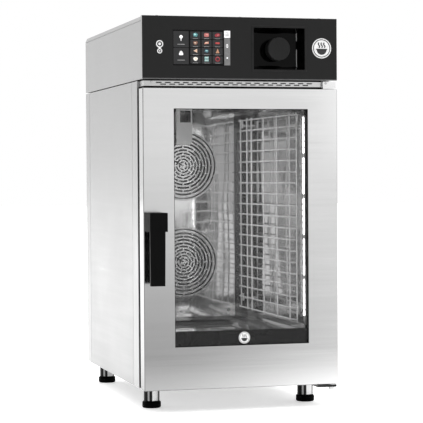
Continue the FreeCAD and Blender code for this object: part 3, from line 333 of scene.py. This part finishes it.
# Painted shade: a dark spot on the baffle behind the injector cover's window.
INJECTOR_SHADE_SPOT = (0.012, 0.776)     # x, z of the dark spot on the baffle
# Painted shade: the cavity's steel darkens behind the baffle.
BAFFLE_CHAMBER_SHADE = (0.262, 0.268, 0.62)     # y where it starts, y where it is full, and its depth
# The knob recess's lighter rim is a painted highlight, and its inside corner carries a painted highlight with
# a gap.
RECESS_RIM_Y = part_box("control_panel")[0].y - 0.3 * MM
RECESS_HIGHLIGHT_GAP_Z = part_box("knob")[0].z + 42 * MM
# Painted reflection: tones round the foot sleeves, light and dark by the way each face turns.
SLEEVE_REFLECTION_BANDS = ((-100, 0.3), (-88, 0.01), (-44, 0.01), (-40, 0.2), (-31, 0.2), (-26, 0.01),
                (-10, 0.01), (-6, 0.5), (38, 0.5), (42, 0.02), (92, 0.02), (104, 0.3))

FINISH = {
    # Painted shade on the door: darker towards its lower left, and darker on its folds and its sides.
    "door": brushed("door_steel_brushed", 0.77, 0.13, 0, bump=0.006, wave=0.01, smudge=0.01,
                    sweep=(*DOOR_SHADE_LINE, 0.75, 0.56), edges=(0.45, 0.8)),
    # Painted shade on the sides: darker towards their lower left.
    "side": brushed("side_steel_brushed", 0.42, 0.34, 1, bump=0.015, wave=0.02, smudge=0.03,
                    sweep=(*DOOR_SHADE_LINE, 0.6, 0.18)),
    "upright": brushed("edge_steel_brushed", 0.42, 0.34, 2, bump=0.015),
    # Painted shade: the lower hinge bracket is darkened nearly to black, the upper one left bright.
    "bracket": brushed("bracket_steel", 0.86, 0.3, 0, bump=0.03, sweep=(0.24, 0.05, 0.3, 0.97)),
    "grille": brushed("grille_steel", 0.62, 0.25, 0, bump=0.02),
    # Painted shade: the cavity's steel and rails darken behind the baffle.
    "cavity": brushed("cavity_steel_rolled", 0.82, 0.06, 2, fine=700.0, bump=0.008, wave=0.3,
                      smudge=0.015, metal=0.93, shade_behind_y=BAFFLE_CHAMBER_SHADE),
    # Painted shade: the baffle darkens in a spot behind the injector cover's window.
    "baffle": brushed("baffle_steel_rolled", 0.82, 0.06, 2, fine=700.0, bump=0.008, wave=0.3,
                      smudge=0.015, metal=0.93, sweep=(*INJECTOR_SHADE_SPOT, 0.04, 0.85)),
    "cover": brushed("cover_steel_matt", 0.72, 0.36, 2, bump=0.02, metal=0.9),
    "guard": polished("guard_steel", 0.72, 0.14, 0.03, metal=0.9),
    "wire": polished("wire_steel", 0.95, 0.14, 0.01, metal=0.72),
    # Painted reflection on the foot sleeves.
    "sleeve": reflection_banded("sleeve_steel", SLEEVE_REFLECTION_BANDS, 0.2),
    "pin": brushed("pin_steel_ground", 0.62, 0.28, 2, bump=0.05),
    "pipe": brushed("pipe_steel_drawn", 0.62, 0.32, 2, bump=0.06),
    "fan": brushed("fan_steel_pressed", 0.3, 0.35, 0, bump=0.06),
    "heater": moulded("heater_sheath", (0.05, 0.05, 0.05), 0.5, 900.0, 0.2),
    "motor": moulded("motor_casting", (0.36, 0.36, 0.37), 0.55, 1200.0, 0.4, vary=0.12),
    # Painted highlight: the fascia's bevels that look down are lightened.
    "fascia": moulded("fascia_powder_coat", grey(0.0135), 0.55, 2200.0, 0.05, 0.17, 0.10, foot=9.0),
    # Painted highlight and shade in the knob recess.
    "gloss": recess("recess_gloss_black", RECESS_RIM_Y, 0.018, 0.0012, 0.08,
                    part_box("knob")[1].x, RECESS_HIGHLIGHT_GAP_Z),
    "matt": moulded("matt_black_moulding", grey(0.0012), 0.5, 2400.0, 0.1, 0.02, 0.2),
    "handle": moulded("handle_black", grey(0.0032), 0.5, 2000.0, 0.05, 0.045, 0.2),
    "knob": moulded("knob_dark_grey", grey(0.014), 0.42, 2400.0, 0.05, 0.14, 0.15),
    "jamb": moulded("jamb_black", grey(0.012), 0.6, 1800.0, 0.2, 0.2, 0.2),
    "rubber": moulded("gasket_rubber", grey(0.0030), 0.7, 1500.0, 0.2, 0.10, 0.25),
    "enamel": moulded("fired_black_enamel", grey(0.0040), 0.25, 600.0, 0.03, 0.3, 0.2),
    "lens": moulded("display_cover", grey(0.0030), 0.16, 400.0, 0.01, 0.12, 0.2),
    "bush": moulded("bush_polymer", (0.78, 0.76, 0.7), 0.5, 1600.0, 0.15, vary=0.05),
    "board": moulded("circuit_lacquer", (0.03, 0.16, 0.08), 0.35, 500.0, 0.3),
    "grey": moulded("grey_moulding", (0.22, 0.225, 0.23), 0.5, 1600.0, 0.2, vary=0.1),
    "channel": brushed("led_channel_alloy", 0.6, 0.4, 2, bump=0.05),
    "glass": pane("clear_pane", 0.985, 0.25),
    "wool": wool("mineral_wool_slab"),
}

NODE_FINISH = {
    "door": ("door_skin", "door_inner_frame"),
    "side": ("side_panel_left", "side_panel_right", "control_housing", "top_lid", "base_pan", "panel_frame"),
    "upright": ("front_frame", "rear_panel", "inner_glass_clips"),
    "bracket": ("hinge_brackets",),
    "grille": ("vent_grille",),
    "cavity": ("cavity_liner", "rack_rails"),
    "cover": ("injector_cover",),
    "baffle": ("air_baffle",),
    "guard": ("fan_guards", "wash_nozzle", "drain_strainer"),
    "wire": ("rack_left", "rack_right"),
    "sleeve": ("leg_sleeves",),
    "pin": ("hinge_pins", "handle_spindle", "strike_cup", "knob_shaft", "screws"),
    "pipe": ("drain_pipe", "vent_pipe", "vent_flap"),
    "fan": ("fan_wheel_upper", "fan_wheel_lower"),
    "heater": ("heating_elements",),
    "motor": ("fan_motors",),
    "fascia": ("control_panel",),
    "gloss": ("knob_recess",),
    "matt": ("foot_pads", "display_module", "cooling_fan_frame", "cooling_fan_rotor", "cable_gland"),
    "handle": ("handle",),
    "knob": ("knob",),
    "jamb": ("window_jamb",),
    "rubber": ("door_gasket", "glass_seals"),
    "enamel": ("glass_print_band",),
    "lens": ("display_lens",),
    "bush": ("door_bushes",),
    "board": ("circuit_boards",),
    "grey": ("encoder_body", "encoder_plunger", "vent_actuator", "water_inlet_valve"),
    "channel": ("led_bar",),
    "glass": ("outer_glass", "inner_glass"),
    "wool": ("insulation",),
}


def dress_frame():
    """Gives every CAD node its material."""
    for finish, nodes in NODE_FINISH.items():
        for node in nodes:
            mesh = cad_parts[node].data
            mesh.materials.clear()
            mesh.materials.append(FINISH[finish])


# ---- Mesh helpers -----------------------------------------------------------------------------
def piece(name, mesh, material, body):
    """A new object with its material, which moves with body."""
    made = bpy.data.objects.new(name, mesh)
    bpy.context.collection.objects.link(made)
    mesh.materials.append(material)
    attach(made, body)
    return made


def blob(x, z, radius, wobble, lobes, turn, sides=28):
    """A flattened round outline with soft lobes."""
    points = []
    for i in range(sides):
        a = 2 * math.pi * i / sides
        r = radius * (1 + wobble * math.sin(lobes * a + turn))
        points.append((x + r * math.cos(a), z + r * 0.82 * math.sin(a)))
    return points


def flat_solid(outlines, y, thick):
    """Closed plates that face -Y: each outline is a list of (x, z) points in metres."""
    bm = bmesh.new()
    for outline in outlines:
        front = [bm.verts.new((x, y, z)) for x, z in outline]
        back = [bm.verts.new((x, y + thick, z)) for x, z in outline]
        bm.faces.new(front)
        bm.faces.new(list(reversed(back)))
        count = len(front)
        for i in range(count):
            j = (i + 1) % count
            bm.faces.new((front[j], front[i], back[i], back[j]))
    bmesh.ops.recalc_face_normals(bm, faces=bm.faces)
    mesh = bpy.data.meshes.new("plate")
    bm.to_mesh(mesh)
    bm.free()
    return mesh


def rounded(x, z, wide, tall, radius, steps=4):
    """Outline of a rounded rectangle about (x, z), in metres."""
    radius = min(radius, wide / 2, tall / 2)
    points = []
    for i, (sx, sz) in enumerate(((1, 1), (-1, 1), (-1, -1), (1, -1))):
        cx, cz = x + sx * (wide / 2 - radius), z + sz * (tall / 2 - radius)
        for k in range(steps + 1):
            a = math.pi / 2 * (i + k / steps)
            points.append((cx + radius * math.cos(a), cz + radius * math.sin(a)))
    return points


def disc(x, z, radius, sides=32):
    angles = [2 * math.pi * i / sides for i in range(sides)]
    return [(x + radius * math.cos(a), z + radius * math.sin(a)) for a in angles]


def arc_band(x, z, inner, outer, start, sweep, sides=24):
    """A curved band from the angle start, as one outline."""
    angles = [start + sweep * i / sides for i in range(sides + 1)]
    out = [(x + outer * math.cos(a), z + outer * math.sin(a)) for a in angles]
    back = [(x + inner * math.cos(a), z + inner * math.sin(a)) for a in reversed(angles)]
    return out + back


def ring(x, z, inner, outer, sides=36):
    """A full ring as two half bands, since one outline can't have a hole."""
    return [arc_band(x, z, inner, outer, start, math.pi, sides // 2) for start in (0.0, math.pi)]


def wave(x, z, tall, swing, wide, steps=16):
    """A rising wavy stroke."""
    left, right = [], []
    for i in range(steps + 1):
        t = i / steps
        cx = x + swing * math.sin(2 * math.pi * t)
        slope = swing * 2 * math.pi * math.cos(2 * math.pi * t) / tall
        scale = wide / 2 / math.sqrt(1 + slope * slope)
        left.append((cx - scale, z + tall * t + scale * slope))
        right.append((cx + scale, z + tall * t - scale * slope))
    return left + right[::-1]


# ---- Panel graphics ---------------------------------------------------------------------------
LIT = {}
WHITE = (0.92, 0.92, 0.92)
PRINT = (0.78, 0.78, 0.78)
LAYER = 0.13 * MM            # from one layer of print to the next
PRINT_THICK = 0.12 * MM


def show(name, outlines, colour, strength, y, body="cabinet"):
    """One printed or lit shape. Shapes of one colour and strength share a material."""
    material = LIT.setdefault((colour, strength), lit("lit_" + name, colour, strength))
    return piece(name, flat_solid(outlines, y, PRINT_THICK), material, body)


# The screen's grid, in millimetres from its upper left corner.
MENU_X = 21.0
BAR_X = 142.6
DISH_X = (58.7, 88.0, 117.0)
TILE_Z = (13.5, 34.0, 54.5, 75.5)
DISH_Z = (12.4, 32.8, 53.0, 73.4)
DISH_LABEL_Z = (21.6, 42.0, 62.5, 83.5)


def display_screen():
    low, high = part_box("display_lens")
    left, top = low.x, high.z
    face = low.y - 0.15 * MM

    def at(x, z):
        return left + x * MM, top - z * MM

    def tile(x, z, wide, tall, radius=0.8):
        return rounded(*at(x, z), wide * MM, tall * MM, radius * MM)

    backs = [tile(MENU_X, 24.0, 40, 41, 1.2), tile(MENU_X, 66.5, 40, 41, 1.2)]
    backs += [tile(x, z, 26.5, 18.6, 1.0) for x in DISH_X for z in TILE_Z]
    show("screen_tiles", backs, (0.012, 0.012, 0.013), 0.0, face)
    face -= LAYER
    side_bar(at, tile, face)
    menu_marks(at, face)
    labels = [tile(MENU_X, z, 19.0, 1.5, 0.4) for z in (37.0, 77.0)]
    labels += [tile(x, z, 14.0, 0.9, 0.3) for x in DISH_X for z in DISH_LABEL_Z]
    show("screen_label_bars", labels, (0.30, 0.30, 0.30), 0.15, face)
    dish_marks(at, face)


def side_bar(at, tile, face):
    """The grey bar with the menu key, three stacked lines and a small star."""
    show("screen_side_bar", [tile(BAR_X, 54.0, 15.8, 70.0, 0.3)], (0.14, 0.14, 0.14), 0.35, face)
    show("screen_menu_key", [tile(BAR_X, 9.6, 15.8, 17.6, 0.3)], WHITE, 0.35, face)
    strokes = [tile(BAR_X, z, 10.5, 1.4, 0.3) for z in (6.0, 9.6, 13.2)]
    show("screen_menu_bars", strokes, (0.12, 0.12, 0.12), 0.0, face - LAYER)
    stack = [tile(BAR_X, z, wide, 2.0, 0.4) for z, wide in ((39.5, 6.4), (43.0, 4.2), (36.0, 4.2))]
    show("screen_bar_mark", stack, WHITE, 0.3, face - LAYER)
    x, z = at(BAR_X, 70.0)
    star = []
    for i in range(16):
        r = (3.1 if i % 2 == 0 else 1.5) * MM
        star.append((x + r * math.cos(math.pi / 8 * i), z + r * math.sin(math.pi / 8 * i)))
    show("screen_bar_dot", [star], WHITE, 0.3, face - LAYER)


def menu_marks(at, face):
    """A pan seen from above and a lidded pot, on the two left tiles."""
    x, z = at(MENU_X, 19.0)
    pan = [disc(x, z + 1.0 * MM, 4.4 * MM), rounded(x, z - 6.0 * MM, 1.8 * MM, 6.0 * MM, 0.6 * MM)]
    show("screen_pan_mark", pan, WHITE, 0.35, face)
    x, z = at(MENU_X, 60.0)
    pot = [rounded(x, z - 1.2 * MM, 10.5 * MM, 6.2 * MM, 1.2 * MM)]
    pot.append(rounded(x, z + 3.6 * MM, 8.0 * MM, 1.8 * MM, 0.7 * MM))
    pot.append(rounded(x, z + 5.8 * MM, 2.4 * MM, 1.6 * MM, 0.5 * MM))
    show("screen_pot_mark", pot, WHITE, 0.35, face)


# Shapes for the pictures of dishes. The picture's middle (x, z) is in metres. Offsets from it and
# sizes are in millimetres.
def bar(x, z, dx, dz, wide, tall, radius):
    return [rounded(x + dx * MM, z + dz * MM, wide * MM, tall * MM, radius * MM)]


def bars(x, z, rises, wide, tall, radius):
    return [rounded(x, z + rise * MM, wide * MM, tall * MM, radius * MM) for rise in rises]


def lump(x, z, dx, dz, radius, *shape):
    return [blob(x + dx * MM, z + dz * MM, radius * MM, *shape)]


def spot(x, z, dx, dz, radius, sides):
    return [disc(x + dx * MM, z + dz * MM, radius * MM, sides)]


def facet(x, z, *points):
    return [[(x + dx * MM, z + dz * MM) for dx, dz in points]]


def loop(x, z, inner, outer):
    return ring(x, z, inner * MM, outer * MM)


def curve(x, z, inner, outer, start, sweep, sides):
    return [arc_band(x, z, inner * MM, outer * MM, start, sweep, sides)]


TEAL, PALE_TEAL, ROSE = (0.07, 0.22, 0.23), (0.40, 0.68, 0.66), (0.42, 0.13, 0.12)
DEEP, RED, CREAM = (0.24, 0.02, 0.03), (0.38, 0.03, 0.03), (0.72, 0.60, 0.46)
TAN, BROWN, PLATE = (0.52, 0.27, 0.16), (0.20, 0.09, 0.06), (0.75, 0.73, 0.68)
PINK, CRUST, RIND, INK = (0.62, 0.28, 0.25), (0.52, 0.24, 0.18), (0.66, 0.47, 0.36), (0.03, 0.09, 0.12)

# Row by row: name, base shape and colour, detail shape and colour. A shape is its function and numbers.
DISHES = (
    ("greens", (lump, 0, 0, 6.0, 0.12, 5, 0.4), TEAL, (lump, -1, 1, 2.6, 0.2, 3, 1), PALE_TEAL),
    ("roast", (bar, 0, 0, 12.5, 9.5, 3), ROSE, (bar, 1, 1, 6.5, 3.2, 1.4), PINK),
    ("cut", (lump, 0, 0, 6.2, 0.18, 2, 0.9), DEEP, (lump, 1.2, 0, 2.4, 0.2, 2, 0), ROSE),
    ("fish", (lump, 0, 0, 5.6, 0.1, 3, 0), BROWN, (bar, -0.5, 0, 5.0, 2.4, 1), CREAM),
    ("slice", (facet, (-6, -3), (6, -1.5), (5, 3.6), (-3.5, 2.4)), CRUST, (bar, 0.5, 1, 6, 1.4, 0.6), CREAM),
    ("sausage", (bar, 0, 0, 12.0, 4.4, 2.2), RED, (bar, 0, 0.8, 8.0, 1.0, 0.5), ROSE),
    ("cheese", (facet, (-5.5, 0), (4.5, 5.2), (4.5, -4.6)), RIND, (spot, 1.8, 0.4, 1.3, 14), TAN),
    ("shell", (lump, 0, 0, 5.4, 0.1, 4, 0), INK, (bar, 0, 0.5, 6.0, 2.0, 0.9), PALE_TEAL),
    ("cake", (facet, (-4.8, -5), (4.8, -5), (0.4, 6)), TAN, (bar, 0, -2.6, 5.4, 1.6, 0.6), BROWN),
    ("egg", (lump, 0, 0, 6.0, 0.04, 3, 0), PLATE, (spot, 1.0, 0, 2.2, 18), CREAM),
    ("layers", (bars, (-4.4, 0.0, 4.4), 11.0, 2.3, 1), PALE_TEAL, (bars, (-4.4, 4.4), 5.0, 1.0, 0.4), PLATE),
    ("ring", (loop, 3.6, 6.4), DEEP, (curve, 4.6, 5.4, 0.6, 1.6, 10), ROSE),
)


def drawn(shape, x, z):
    kind, *numbers = shape
    return kind(x, z, *numbers)


def dish_marks(at, face):
    """Twelve small coloured pictures of dishes, drawn as plain shapes."""
    for i, (name, base, base_colour, detail, detail_colour) in enumerate(DISHES):
        x, z = at(DISH_X[i % 3], DISH_Z[i // 3])
        show(f"dish_{name}", drawn(base, x, z), base_colour, 0.3, face)
        show(f"dish_{name}_top", drawn(detail, x, z), detail_colour, 0.3, face - LAYER)


def steam_badge(name, x, z, radius, face, body):
    """Plain round badge: a light disc, glowing faintly as painted light, with a dark ring, a bowl and three
    wisps of steam.
    """
    dark = (0.02, 0.02, 0.021)
    show(name + "_disc", [disc(x, z, radius, 48)], PRINT, 0.12, face, body)
    lines = ring(x, z, radius * 0.82, radius * 0.9, 48)
    lines.append(arc_band(x, z - radius * 0.12, radius * 0.02, radius * 0.52, math.pi, math.pi, 20))
    lines.append(rounded(x, z - radius * 0.1, radius * 1.16, radius * 0.12, radius * 0.04))
    for wisp in (-0.28, 0.0, 0.28):
        lines.append(wave(x + wisp * radius, z + radius * 0.06, radius * 0.5, radius * 0.07, radius * 0.12))
    show(name + "_lines", lines, dark, 0.0, face - LAYER, body)


RING_MARK = (-214.3 * MM, 80.3 * MM)     # x, and height above the fascia's foot
PANEL_BADGE = (217.7 * MM, 83.0 * MM)
DOOR_BADGE = (5.0 * MM, 187.0 * MM)       # x, z


def panel_prints():
    """The fascia's linked rings and the round badges on the fascia and on the glass; their light print glows
    faintly as painted light.
    """
    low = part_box("control_panel")[0]
    face = low.y - PRINT_THICK
    x, z = RING_MARK[0], low.z + RING_MARK[1]
    upper, lower = z + 8.0 * MM, z - 9.6 * MM
    marks = ring(x, upper, 6.6 * MM, 9.4 * MM) + [disc(x, upper, 3.6 * MM, 20)]
    marks += ring(x, lower, 4.2 * MM, 6.6 * MM, 28) + [disc(x, lower, 1.9 * MM, 16)]
    marks.append(rounded(x, z - 2.0 * MM, 7.0 * MM, 1.7 * MM, 0.6 * MM))
    # Painted light: the ring mark's print glows faintly.
    show("panel_ring_mark", marks, PRINT, 0.1, face, "cabinet")
    steam_badge("panel_badge", PANEL_BADGE[0], low.z + PANEL_BADGE[1], 26.0 * MM, face, "cabinet")
    glass_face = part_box("outer_glass")[0].y
    steam_badge("door_badge", *DOOR_BADGE, 15.0 * MM, glass_face - LAYER, "door")


# ---- Light bar --------------------------------------------------------------------------------
LAMP_MODULES, LAMPS = 5, 6
MODULE_PITCH, LAMP_PITCH = 106.0 * MM, 16.0 * MM
LAMP_SIZE = (2.6 * MM, 8.0 * MM, 13.2 * MM)
LAMP_ROUND = 0.9 * MM
CHANNEL_INSET = 1.4 * MM     # from the bar's inner face to the channel's open edges
CHANNEL_WALL = 1.0 * MM


def light_bar():
    low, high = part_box("led_bar")
    led_lamps(low, high)
    led_channel(low, high)


def led_lamps(low, high):
    """The row of small lamps in the door's light bar."""
    bm = bmesh.new()
    x, y, top = low.x + 1.5 * MM, (low.y + high.y) / 2, high.z - 4 * MM
    thick, wide, tall = LAMP_SIZE
    for module in range(LAMP_MODULES):
        for lamp in range(LAMPS):
            z = top - module * MODULE_PITCH - (lamp + 0.5) * LAMP_PITCH
            made = bmesh.ops.create_cube(bm, size=1.0)
            for v in made["verts"]:
                v.co = Vector((x + v.co.x * thick, y + v.co.y * wide, z + v.co.z * tall))
    bmesh.ops.bevel(bm, geom=bm.edges[:], offset=LAMP_ROUND, segments=3, affect="EDGES", profile=0.6)
    mesh = bpy.data.meshes.new("led_beads")
    bm.to_mesh(mesh)
    bm.free()
    piece("led_lamps", mesh, lit("led_lamp_glow", (0.96, 0.96, 0.96), 6.0, 0.05), "door")


def led_channel(low, high):
    """The alloy channel behind the lamps, which takes the CAD bar's place."""
    bm = bmesh.new()
    open_x, back_x, inner_x = low.x + CHANNEL_INSET, high.x, high.x - CHANNEL_WALL
    front, rear = low.y, high.y
    profile = ((open_x, front), (back_x, front), (back_x, rear), (open_x, rear),
               (open_x, rear - CHANNEL_WALL), (inner_x, rear - CHANNEL_WALL),
               (inner_x, front + CHANNEL_WALL), (open_x, front + CHANNEL_WALL))
    bottom = [bm.verts.new((x, y, low.z)) for x, y in profile]
    top = [bm.verts.new((x, y, high.z)) for x, y in profile]
    bm.faces.new(bottom)
    bm.faces.new(top[::-1])
    for i in range(len(profile)):
        j = (i + 1) % len(profile)
        bm.faces.new((bottom[i], bottom[j], top[j], top[i]))
    bmesh.ops.recalc_face_normals(bm, faces=bm.faces)
    mesh = bpy.data.meshes.new("led_channel")
    bm.to_mesh(mesh)
    bm.free()
    channel = piece("led_channel", mesh, FINISH["channel"], "door")
    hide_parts("led_bar")


# ---- Studio -----------------------------------------------------------------------------------
CAMERA_PLACE = (-1.211, -4.4585, 0.600)
CAMERA_YAW, CAMERA_PITCH, CAMERA_ROLL = math.radians(15.38), math.radians(-1.18), math.radians(-0.36)


def camera():
    data = bpy.data.cameras.new("camera")
    data.lens, data.sensor_width = 142.1, 36.0
    data.clip_start, data.clip_end = 0.1, 100.0
    made = bpy.data.objects.new("camera", data)
    bpy.context.collection.objects.link(made)
    heading = Matrix.Rotation(-CAMERA_YAW, 4, "Z")
    tilt = Matrix.Rotation(math.pi / 2 + CAMERA_PITCH, 4, "X")
    turn = heading @ tilt @ Matrix.Rotation(CAMERA_ROLL, 4, "Z")
    made.matrix_world = Matrix.Translation(CAMERA_PLACE) @ turn
    bpy.context.scene.camera = made


def softbox(name, place, target, size, power):
    """A rectangular lamp at place that shines at target."""
    data = bpy.data.lights.new(name, "AREA")
    data.shape, data.size, data.size_y = "RECTANGLE", size[0], size[1]
    data.energy = power
    made = bpy.data.objects.new(name, data)
    bpy.context.collection.objects.link(made)
    made.location = place
    made.rotation_mode = "QUATERNION"
    made.rotation_quaternion = (Vector(target) - Vector(place)).to_track_quat("-Z", "Y")
    return made


def glow(name, place, target, size, power):
    """Fill light inside the cavity, which neither the camera nor a mirror sees."""
    made = softbox(name, place, target, size, power)
    made.visible_camera = False
    made.visible_glossy = False


STRIP_TURN = 0.85            # a narrow tall light stands this many radians to the left of the front


def surround():
    """Soft white room: bright behind, overhead and front right, and dimmer in front on the left."""
    world = bpy.data.worlds.new("studio")
    bpy.context.scene.world = world
    world.use_nodes = True
    g = Graph(world.node_tree)
    split = g.node("SeparateXYZ", Vector=g.node("TexCoord").outputs["Generated"])
    behind = g.span(split.outputs["Y"], 0.0, 1.0, -0.2, 0.25, True)
    right = g.span(split.outputs["X"], 0.4, 0.92, -0.12, 0.26, True)
    above = g.span(split.outputs["Z"], 0.0, 1.5, 0.45, 0.85, True)
    front = g.math("MULTIPLY", split.outputs["Y"], -1.0)
    turn = g.math("ADD", g.math("ARCTAN2", split.outputs["X"], front), STRIP_TURN)
    strip = g.span(g.math("ABSOLUTE", turn, 0.0), 1.6, 0.0, 0.035, 0.06, True)
    walls = g.math("MAXIMUM", g.math("MAXIMUM", behind, right), strip)
    back = g.node("Background", Color=(1, 1, 1, 1), Strength=g.math("ADD", walls, above))
    out = g.node("OutputWorld", Surface=back.outputs[0])
    out.is_active_output = True


def studio():
    surround()
    softbox("key", (1.7, -2.5, 1.7), (0.1, -0.3, 0.7), (1.6, 2.2), 3)
    glow("lamp_right", (-0.10, -0.12, 0.48), (0.2, 0.05, 0.48), (0.3, 0.54), 1.6)
    glow("lamp_left", (0.10, -0.12, 0.48), (-0.2, 0.05, 0.48), (0.3, 0.54), 1.2)
    glow("lamp_roof", (0.0, -0.05, 0.76), (0.0, 0.05, 0.2), (0.2, 0.3), 0.6)
    scene = bpy.context.scene
    scene.view_settings.view_transform = "Standard"
    scene.view_settings.look = "None"


def floor():
    """A wide floor just under the feet."""
    bm = bmesh.new()
    bmesh.ops.create_grid(bm, x_segments=8, y_segments=8, size=30.0)
    mesh = bpy.data.meshes.new("floor")
    bm.to_mesh(mesh)
    bm.free()
    made = bpy.data.objects.new("floor", mesh)
    bpy.context.collection.objects.link(made)
    made.location.z = -0.0005
    mesh.materials.append(painted_floor("pale_floor"))


dress_frame()
display_screen()
panel_prints()
light_bar()
camera()
studio()
floor()
